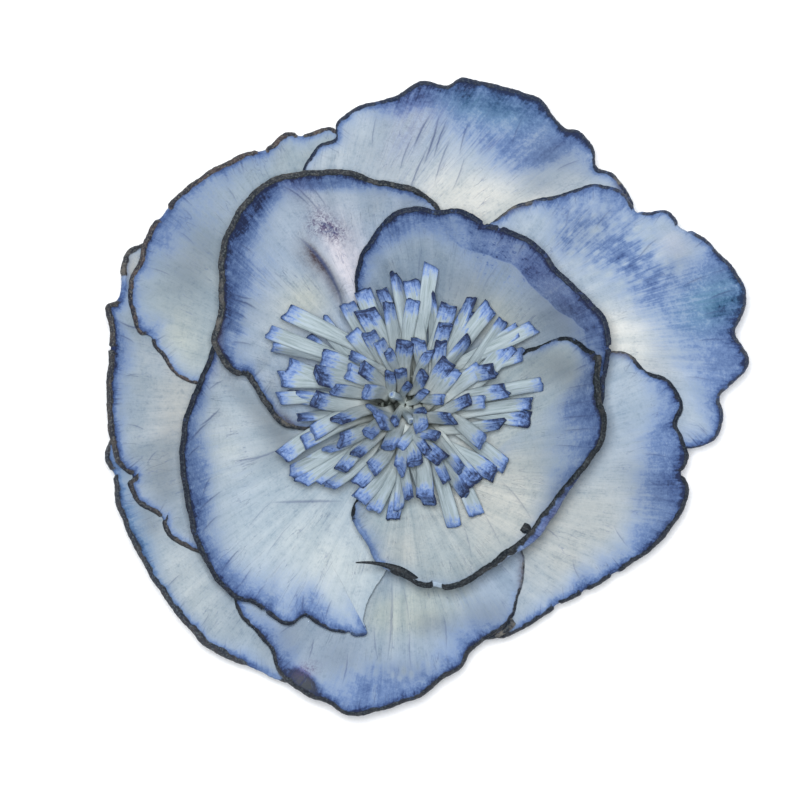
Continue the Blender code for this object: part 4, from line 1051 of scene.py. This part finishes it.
petal_faces = closed_rings(TOP_RINGS + EDGE_ROWS + UNDER_RINGS, OUTLINE_COLUMNS)
splinter_faces = closed_rings(SPLINTER_RINGS, SPLINTER_COLUMNS)
for number, (title, petal) in enumerate(PETALS.items(), 1):
    points, attributes = petal_skin(petal, number)
    faces = petal_faces
    for splinter in petal.get("splinters", ()):
        more_points, more = splinter_skin(*splinter, number)
        faces = faces + moved_on(splinter_faces, len(points))
        points = np.concatenate([points, more_points])
        attributes = {name: np.concatenate([attributes[name], more[name]]) for name in more}
    finish = dyed_pith(f"dyed_pith_{number}", petal["cool"], petal["warm"],
                       petal.get("bark_hues", PLAIN_BARK), petal["creases"])
    make_piece(f"{title}_slice", points, faces, attributes, finish,
               title)

# ---------------------------------------------------------------------------------------
# The stamen tuft: seven combs cut in sheets of pith, rolled round the middle and glued on
# the core. Each comb is a low band with strips standing out of it. The strips were dipped
# tip first, so their cut ends are blue and their sides stay the colour of the pith.
# ---------------------------------------------------------------------------------------
COMB_SEAT = 10.15
BAND_HEIGHT = 2
BAND_THICKNESS = 0.5
BAND_COLUMNS = 96
BAND_CORNERS = 16  # points round the band's section
STRIP_RINGS = 30
STRIP_COLUMNS = 14
STRIP_FOOT = 1  # how far up in the band the strips start
ROOT_SPREAD = 0.8  # how far from the axis they start, as a share of the band's radius
MOST_LEAN = 0.92  # the sine of it: a strip is at least as long as this makes it
LEAN_SHARES = (0.65, 0.7)  # its lean at the root and what it gains, as shares of its mean
CURL_START = 0.7  # this and the next two are shares of a strip's length
SKEW_START = 0.85
TORN_START = 0.93
TORN = 0.15  # how far most corners of the cut end stand off it
STRIP_PATTERN_STEP = 17  # how far a strip's pattern lies from the last strip's
COMB_PATTERN_STEP = 3
BAND_PATTERN_STEP = 5
NEVER_DIPPED = 15  # how far from a tip the band and the strips' feet count as
RIDGE, RIDGE_WIDTH = 0.12, 0.18  # how high, and how wide as a share of the half width
# The ranges that each strip's own numbers are drawn from.
LENGTHS = (0.94, 1)  # as a share of its comb's length
CURLS = (-0.25, 0.8)  # radians at the tip
SWAYS = (-1, 1)
ROOT_TWISTS = (-0.5, 0.5)  # radians
MORE_TWISTS = (-0.9, 0.9)  # radians from root to tip
HALF_THICKNESSES = (0.36, 0.52)
CUPS = (-0.2, 0.25)  # how deep, as a share of the half width
RIDGE_PLACES = (-0.5, 0.5)  # shares of the half width from its middle
SKEWS = (-0.45, 0.45)  # how much longer one corner of its end is than the middle
COMBS = (  # radius, length of strip, and for each tip: x, y, half its width and its dye
    (0.8, 10, ((3, 2.1, 0.7, 0.77), (0.6, 3.1, 0.7, 0.72), (-2, 1.6, 0.6, -0.35),
        (-1.5, -2.5, 0.8, 0.77), (3, -0.8, 0.6, 0.77), (1, -2.4, 0.6, -0.35))),
    (2.4, 13, ((5.7, 0.8, 0.9, 0.61), (3, 4.8, 1, 0.95), (-0.7, 5.2, 1, 0.87),
        (-2.2, 4.9, 0.9, 0.85), (-5, -0.6, 1.9, 0.49), (-4, -2, 1.8, 0.7), (-2.7, -6.4, 1.4, 0.53),
        (-0.9, -6.4, 0.9, 0.46), (2.5, -3.5, 1.2, 0.42))),
    (3.4, 14.5, ((7.3, 5.2, 1.3, 0.49), (6.5, 6.5, 1.3, 0.95), (5.5, 9.5, 1.2, 0.89),
        (0, 9.3, 1.4, 0.87), (-6.4, 5.6, 1.2, 0.87), (-6, 2.1, 1.3, 0.48), (-5.5, -4.5, 1.2, 0.55),
        (1.5, -8.8, 1.3, 0.76), (5, -4.6, 1.2, 0.83), (7, -2, 1.3, 0.91), (-2.5, 8, 0.8, 0.7),
        (3.6, 8, 0.8, 0.85), (3.4, -7, 0.8, 0.8))),
    (4.4, 15, ((9.5, 0.9, 1, 0.92), (11.2, 5.4, 1.4, 0.41), (9.4, 9.8, 1.5, 0.74),
        (6.1, 12, 1.2, 0.79), (2, 9.7, 1.2, 0.68), (-3.9, 9.5, 1.3, 0.47), (-8.1, 7.5, 1.3, 0.66),
        (-8.6, 5.1, 1.4, 0.41), (-13.2, 4.3, 1.9, 0.96), (-10.1, -2.4, 1.3, 0.91),
        (-9.6, -5.4, 1.3, 0.71), (-0.8, -9.7, 1.2, 0.55), (5.6, -8.2, 1.3, 0.94),
        (-7.4, -7.4, 1, 0.8), (-10.6, 2.4, 1.1, 0.6))),
    (5.4, 14.5, ((15, 2.3, 1.3, 0.72), (13.3, 5.1, 1.4, 0.92), (9.5, 13.9, 1.4, 0.9),
        (6.6, 14.9, 1.4, 0.68), (1.3, 15.7, 1.2, 0.62), (-2.6, 15.2, 1.3, 0.74),
        (-5.4, 10.7, 1.2, 0.63), (-7.9, 10.9, 1.3, 0.45), (-12.4, 7, 1.9, 0.55),
        (-13.5, 0.9, 1.4, 0.88), (-13.7, -4.1, 1.3, 0.38), (-11.6, -6.6, 1.2, 0.38),
        (-9.7, -9.7, 1.2, 0.76), (-5, -9.5, 1.3, 0.53), (0.5, -13.9, 1, 0.7), (3, -14, 1.4, 0.66),
        (8.4, -9.6, 1.3, 0.57), (10.5, -11.8, 1.5, 1), (11.5, -5.5, 1.3, 0.48),
        (6.2, -11.4, 1.1, 0.7))),
    (6.4, 14, ((18.9, 0.3, 1.3, 0.62), (20.4, 3, 1.3, 0.35), (15.6, 9, 1.5, 0.76),
        (14.6, 12.7, 1.2, 0.53), (12.8, 14.7, 1.4, 0.58), (3.9, 16.7, 1.3, 0.84),
        (0.9, 18.5, 1.4, 0.56), (-1.4, 19.1, 1.4, 0.71), (-6, 14.3, 1.7, 0.94),
        (-8.8, 15, 1.6, 0.42), (-12.1, 12.4, 1.5, 0.39), (-17.4, 5.8, 1.4, 0.5),
        (-17.1, 1.4, 1.4, 0.85), (-16, -1.9, 1.2, 0.75), (-15.2, -5.8, 1.3, 0.5),
        (-15, -9.3, 1.2, 0.38), (-11.4, -12, 1.3, 0.47), (-7.1, -11.8, 1.2, 0.65),
        (-1.1, -15.4, 1, 0.38), (3.8, -14.9, 1.5, 0.8), (9.2, -13.4, 1.5, 0.93),
        (13.5, -10.3, 1.5, 0.97), (14.5, -2.6, 1.3, 0.83), (9.9, 16, 1.1, 0.9),
        (-3.6, 17.2, 1.2, 0.7), (-14.8, 9.9, 1.2, 0.8))),
    (7.45, 13.5, ((18.6, -2.2, 1.4, 0.97), (17.6, 7.7, 1.4, 0.36), (16.9, 11.2, 1.2, 0.4),
        (19.3, 11.7, 1.2, 0.3), (3.9, 20.8, 1.2, 0.34), (-6.3, 17, 1.4, 0.62),
        (-17.6, 13.9, 1.4, 0.45), (-20.3, 10.8, 1.3, 0.34), (-19.8, 8.8, 1.4, 0.3),
        (-18.6, 3.9, 1.3, 0.54), (-18.8, 1, 1.1, 0.36), (-18.4, -7.7, 1.4, 0.64),
        (-17, -10, 1.4, 0.44), (-13.5, -11.2, 1.2, 0.42), (-6.8, -14.2, 1.4, 0.42),
        (-4.7, -15.7, 1.3, 0.3), (7.4, -18.2, 1.4, 0.4), (10.6, -16.5, 1.4, 0.38),
        (15, -9.2, 1.4, 0.46), (11.9, 0.6, 1.1, 0.38), (-15.6, -11.6, 1.2, 0.6),
        (-1.8, -17, 1.1, 0.8))),
)


def strip_spines(radius, length, tips, draw):
    """Middle lines of a comb's strips, from the band to their tips, the level direction
    across each, and its length. A strip's lean grows from two thirds of its mean to four
    thirds, some curl over at the end, and each sways to one side as half a sine."""
    count = len(tips)
    bearing = np.arctan2(tips[:, 1], tips[:, 0])
    azimuth = np.empty(count)
    azimuth[np.argsort(bearing)] = 2 * np.pi * (np.arange(count) + 0.5) / count - np.pi
    root = ROOT_SPREAD * radius * np.stack([np.cos(azimuth), np.sin(azimuth)], axis=-1)
    run = np.linalg.norm(tips - root, axis=-1)
    heading = (tips - root) / run[:, None]
    side = np.stack([-heading[:, 1], heading[:, 0]], axis=-1)
    reach = np.maximum(length * draw.uniform(*LENGTHS, count), run / MOST_LEAN)
    s = np.linspace(0, 1, STRIP_RINGS)
    curl = draw.uniform(*CURLS, count)[:, None] * smooth_step(CURL_START, 1, s)
    angle = np.arcsin(run / reach)[:, None] * (LEAN_SHARES[0] + LEAN_SHARES[1] * s) + curl
    step = reach[:, None] / (STRIP_RINGS - 1)
    out = np.cumsum(np.sin(angle) * step, axis=1) - np.sin(angle) * step
    up = np.cumsum(np.cos(angle) * step, axis=1) - np.cos(angle) * step
    out *= (run / out[:, -1])[:, None]
    sway = draw.uniform(*SWAYS, count)[:, None] * np.sin(np.pi * s)
    plan = root[:, None] + heading[:, None] * out[..., None] + side[:, None] * sway[..., None]
    spine = np.concatenate([plan, (COMB_SEAT + STRIP_FOOT + up)[..., None]], axis=-1)
    return spine, np.pad(side, ((0, 0), (0, 1)))[:, None], reach


def strip_skins(radius, length, tips, number):
    """Closed skins of a comb's strips. A strip's section is a flattened rounded oblong,
    cupped as a parabola with a raised line along it. It turns and widens on the way out to
    a skew and ragged cut end. Returns points and attributes, strip by strip."""
    draw = np.random.default_rng(number)
    tips, half_width, tone = np.split(np.array(tips), [2, 3], axis=1)
    count = len(tips)
    s = np.linspace(0, 1, STRIP_RINGS)
    spine, level, reach = strip_spines(radius, length, tips, draw)
    along = unit(np.gradient(spine, axis=1))
    level = unit(level - along * (along * level).sum(axis=-1, keepdims=True))
    face = np.cross(along, level)
    twist = (draw.uniform(*ROOT_TWISTS, count)[:, None]
             + draw.uniform(*MORE_TWISTS, count)[:, None] * s)[..., None]
    across = level * np.cos(twist) + face * np.sin(twist)
    face = face * np.cos(twist) - level * np.sin(twist)

    turn = -2 * np.pi * np.arange(STRIP_COLUMNS) / STRIP_COLUMNS
    wide = np.sign(np.cos(turn)) * np.abs(np.cos(turn)) ** 0.55
    thick = np.sign(np.sin(turn)) * np.abs(np.sin(turn)) ** 0.7
    half_width = (half_width * (0.55 + 0.42 * smooth_step(0.1, 0.95, s)))[..., None]
    half_thickness = draw.uniform(*HALF_THICKNESSES, (count, 1, 1)) * (1.15 - 0.15 * s)[:, None]
    cup = draw.uniform(*CUPS, (count, 1, 1)) * (0.4 + 0.6 * s)[:, None]
    from_ridge = (wide - draw.uniform(*RIDGE_PLACES, (count, 1, 1))) / RIDGE_WIDTH
    skew = draw.uniform(*SKEWS, (count, 1, 1)) * smooth_step(SKEW_START, 1, s)[:, None]
    torn = (TORN * draw.standard_normal((count, 1, STRIP_COLUMNS))
            * smooth_step(TORN_START, 1, s)[:, None])
    bulge = (half_thickness * thick + cup * half_width * wide ** 2
             + RIDGE * np.exp(-from_ridge ** 2))
    rings = (spine[:, :, None] + across[:, :, None] * (half_width * wide)[..., None]
             + face[:, :, None] * bulge[..., None]
             + along[:, :, None] * (skew * wide + torn)[..., None])
    cap = rings[:, -1:] * 0.8 + rings[:, -1:].mean(axis=2, keepdims=True) * 0.2
    rings = np.concatenate([rings, cap + along[:, -1:, None] * 0.04], axis=1)
    points = np.concatenate([rings[:, :1].mean(axis=2), rings.reshape(count, -1, 3),
                             rings[:, -1:].mean(axis=2)], axis=1)

    spread = partial(with_poles, shape=rings.shape[:3])
    from_tip = reach[:, None, None] * (1 - np.append(s, 1))[:, None]
    pattern = (STRIP_PATTERN_STEP * np.arange(count) + COMB_PATTERN_STEP * number)[:, None, None]
    on_cap = np.append(0 * s, 1)[:, None]
    attributes = {
        "fibre": (spread(1.1 * wide, top=0, bottom=0),
                  spread(from_tip, top=NEVER_DIPPED, bottom=0),
                  spread(pattern, top=0, bottom=0)),
        "look": (spread(tone[..., None], top=0.5, bottom=0.5),
                 spread(np.abs(wide), top=0, bottom=0), spread(on_cap, top=0, bottom=1)),
    }
    return points, {name: np.stack(values, axis=-1) for name, values in attributes.items()}


def band_skin(radius):
    """A comb's band: a low closed ring whose section is a rounded oblong, spun round the
    axis. Returns its points and its faces, a grid that closes both ways."""
    turn = 2 * np.pi * np.arange(BAND_COLUMNS)[:, None] / BAND_COLUMNS
    around = 2 * np.pi * np.arange(BAND_CORNERS) / BAND_CORNERS
    out = radius + BAND_THICKNESS / 2 * np.sign(np.cos(around)) * np.abs(np.cos(around)) ** 0.5
    up = COMB_SEAT + BAND_HEIGHT / 2 * (1 + np.sign(np.sin(around))
                                        * np.abs(np.sin(around)) ** 0.5)
    points = np.stack([out * np.cos(turn), out * np.sin(turn), up + 0 * turn], axis=-1)
    corner = np.arange(BAND_COLUMNS * BAND_CORNERS).reshape(BAND_COLUMNS, BAND_CORNERS)
    next_corner = np.roll(corner, -1, 0)
    faces = np.stack([corner, next_corner, np.roll(next_corner, -1, 1), np.roll(corner, -1, 1)],
                     axis=-1)
    return points.reshape(-1, 3), faces.reshape(-1, 4).tolist()


# Fringe pith: dry, matt cream strips with cut fibres along them. Dye sits darkest on the
# cut end and its corners, and thins to pale blue in the last three millimetres.
fringe_pith, add = new_material("dip_dyed_fringe_pith")
place = add("TexCoord").outputs["Object"]
fibre = add("Attribute", attribute_name="fibre").outputs["Vector"]
look = add("Attribute", attribute_name="look").outputs["Vector"]
from_tip = add("SeparateXYZ", (fibre,)).outputs["Y"]
tone, off_middle, on_cap = add("SeparateXYZ", (look,)).outputs
lines = add("TexNoise", {
    "Vector": add("Mapping", {"Vector": fibre, "Scale": (3.6, 0.22, 1)}),
    "Scale": 1, "Detail": 3, "Roughness": 0.65})
blotch = add("TexNoise", {"Vector": place, "Scale": 1100, "Detail": 4, "Roughness": 0.7})
grain = add("TexNoise", {"Vector": place, "Scale": 2600, "Detail": 3, "Roughness": 0.7})

dipped = add("MapRange", (weighed(add, from_tip, (-4.6, lines), (-1.4, tone)), -3, -0.5, 0.8, 0))
dipped = add("Math.MULTIPLY", (dipped, weighed(add, 0.3, (0.75, tone))))
wicked = add("Math.MULTIPLY", (add("MapRange", (from_tip, 0, 7, 0.15, 0)),
                               add("MapRange", (lines, 0.48, 0.62))))
at_end = add("Math.MULTIPLY", (
    add("MapRange", (weighed(add, from_tip, (0.6, blotch)), 0.2, 0.6, 0.5, 0)),
    add("MapRange", (on_cap, 0.25, 0.7, 1, 0.1))))
at_corners = add("Math.MULTIPLY", (add("MapRange", (off_middle, 0.82, 1, 0, 0.5)), dipped))
dye = add("Math.MULTIPLY_ADD", (
    add("Math.MAXIMUM", (at_end, at_corners)), add("Math.ADD", (tone, 0.35)),
    add("Math.MULTIPLY", (dipped, weighed(add, -1.25, (2.8, blotch), (1.6, grain))))))
dye = add("Math.MAXIMUM", (dye, wicked), use_clamp=True)

fringe_colour = add("ValToRGB", (lines,), stops=(
    (0.3, "#7E8C90"), (0.5, "#95A3A9"), (0.7, "#A6B3B9")))
# Near the axis the strips' sides are painted lighter, as painted light deep in the tuft, and their
# feet are painted dark, as painted shade.
from_axis = add("VectorMath.LENGTH", (add("VectorMath.MULTIPLY", (place, (1, 1, 0))),))
near_axis = add("MapRange", (from_axis, 3 * MM, 12 * MM, 1, 0))
for from_here, to_here, most, hue in ((3, 9, 0.9, "#E9F0EE"), (8.5, 11.5, 1, "#4A524D")):
    share = add("Math.MULTIPLY", (near_axis, add("MapRange", (
        from_tip, from_here, to_here, 0, most))))
    fringe_colour = add("Mix", (share, fringe_colour, linear(hue)), data_type="RGBA")
dye_colour = add("ValToRGB", (dye,), stops=(
    (0, "#99A9BB"), (0.2, "#7F95BC"), (0.45, "#6079A9"), (0.7, "#42567F"), (1, "#252F4B")))
fringe_colour = add("Mix", (add("MapRange", (dye, 0.02, 0.3)), fringe_colour, dye_colour),
                    data_type="RGBA")
bump = add("Bump", {"Height": add("Math.ADD", (lines, blotch)), "Distance": 0.12 * MM,
                    "Strength": 0.9})
add("OutputMaterial", (add("BsdfPrincipled", {
    "Base Color": fringe_colour, "Roughness": 0.88, "Specular IOR Level": 0.25,
    "Normal": bump}),))

strip_faces = closed_rings(STRIP_RINGS + 1, STRIP_COLUMNS)
for number, (radius, length, tips) in enumerate(COMBS, 1):
    points, faces = band_skin(radius)
    strips, attributes = strip_skins(radius, length, tips, number)
    on_band = {"fibre": (0, NEVER_DIPPED, BAND_PATTERN_STEP * number), "look": (0.5, 0, 0)}
    attributes = {name: np.concatenate([np.tile(on_band[name], (len(points), 1)),
                                        attributes[name].reshape(-1, 3)]) for name in on_band}
    for strip in strips:
        faces = faces + moved_on(strip_faces, len(points))
        points = np.concatenate([points, strip])
    make_piece(f"stamen_comb_{number}_cut", points, faces, attributes, fringe_pith,
               f"stamen_comb_{number}")
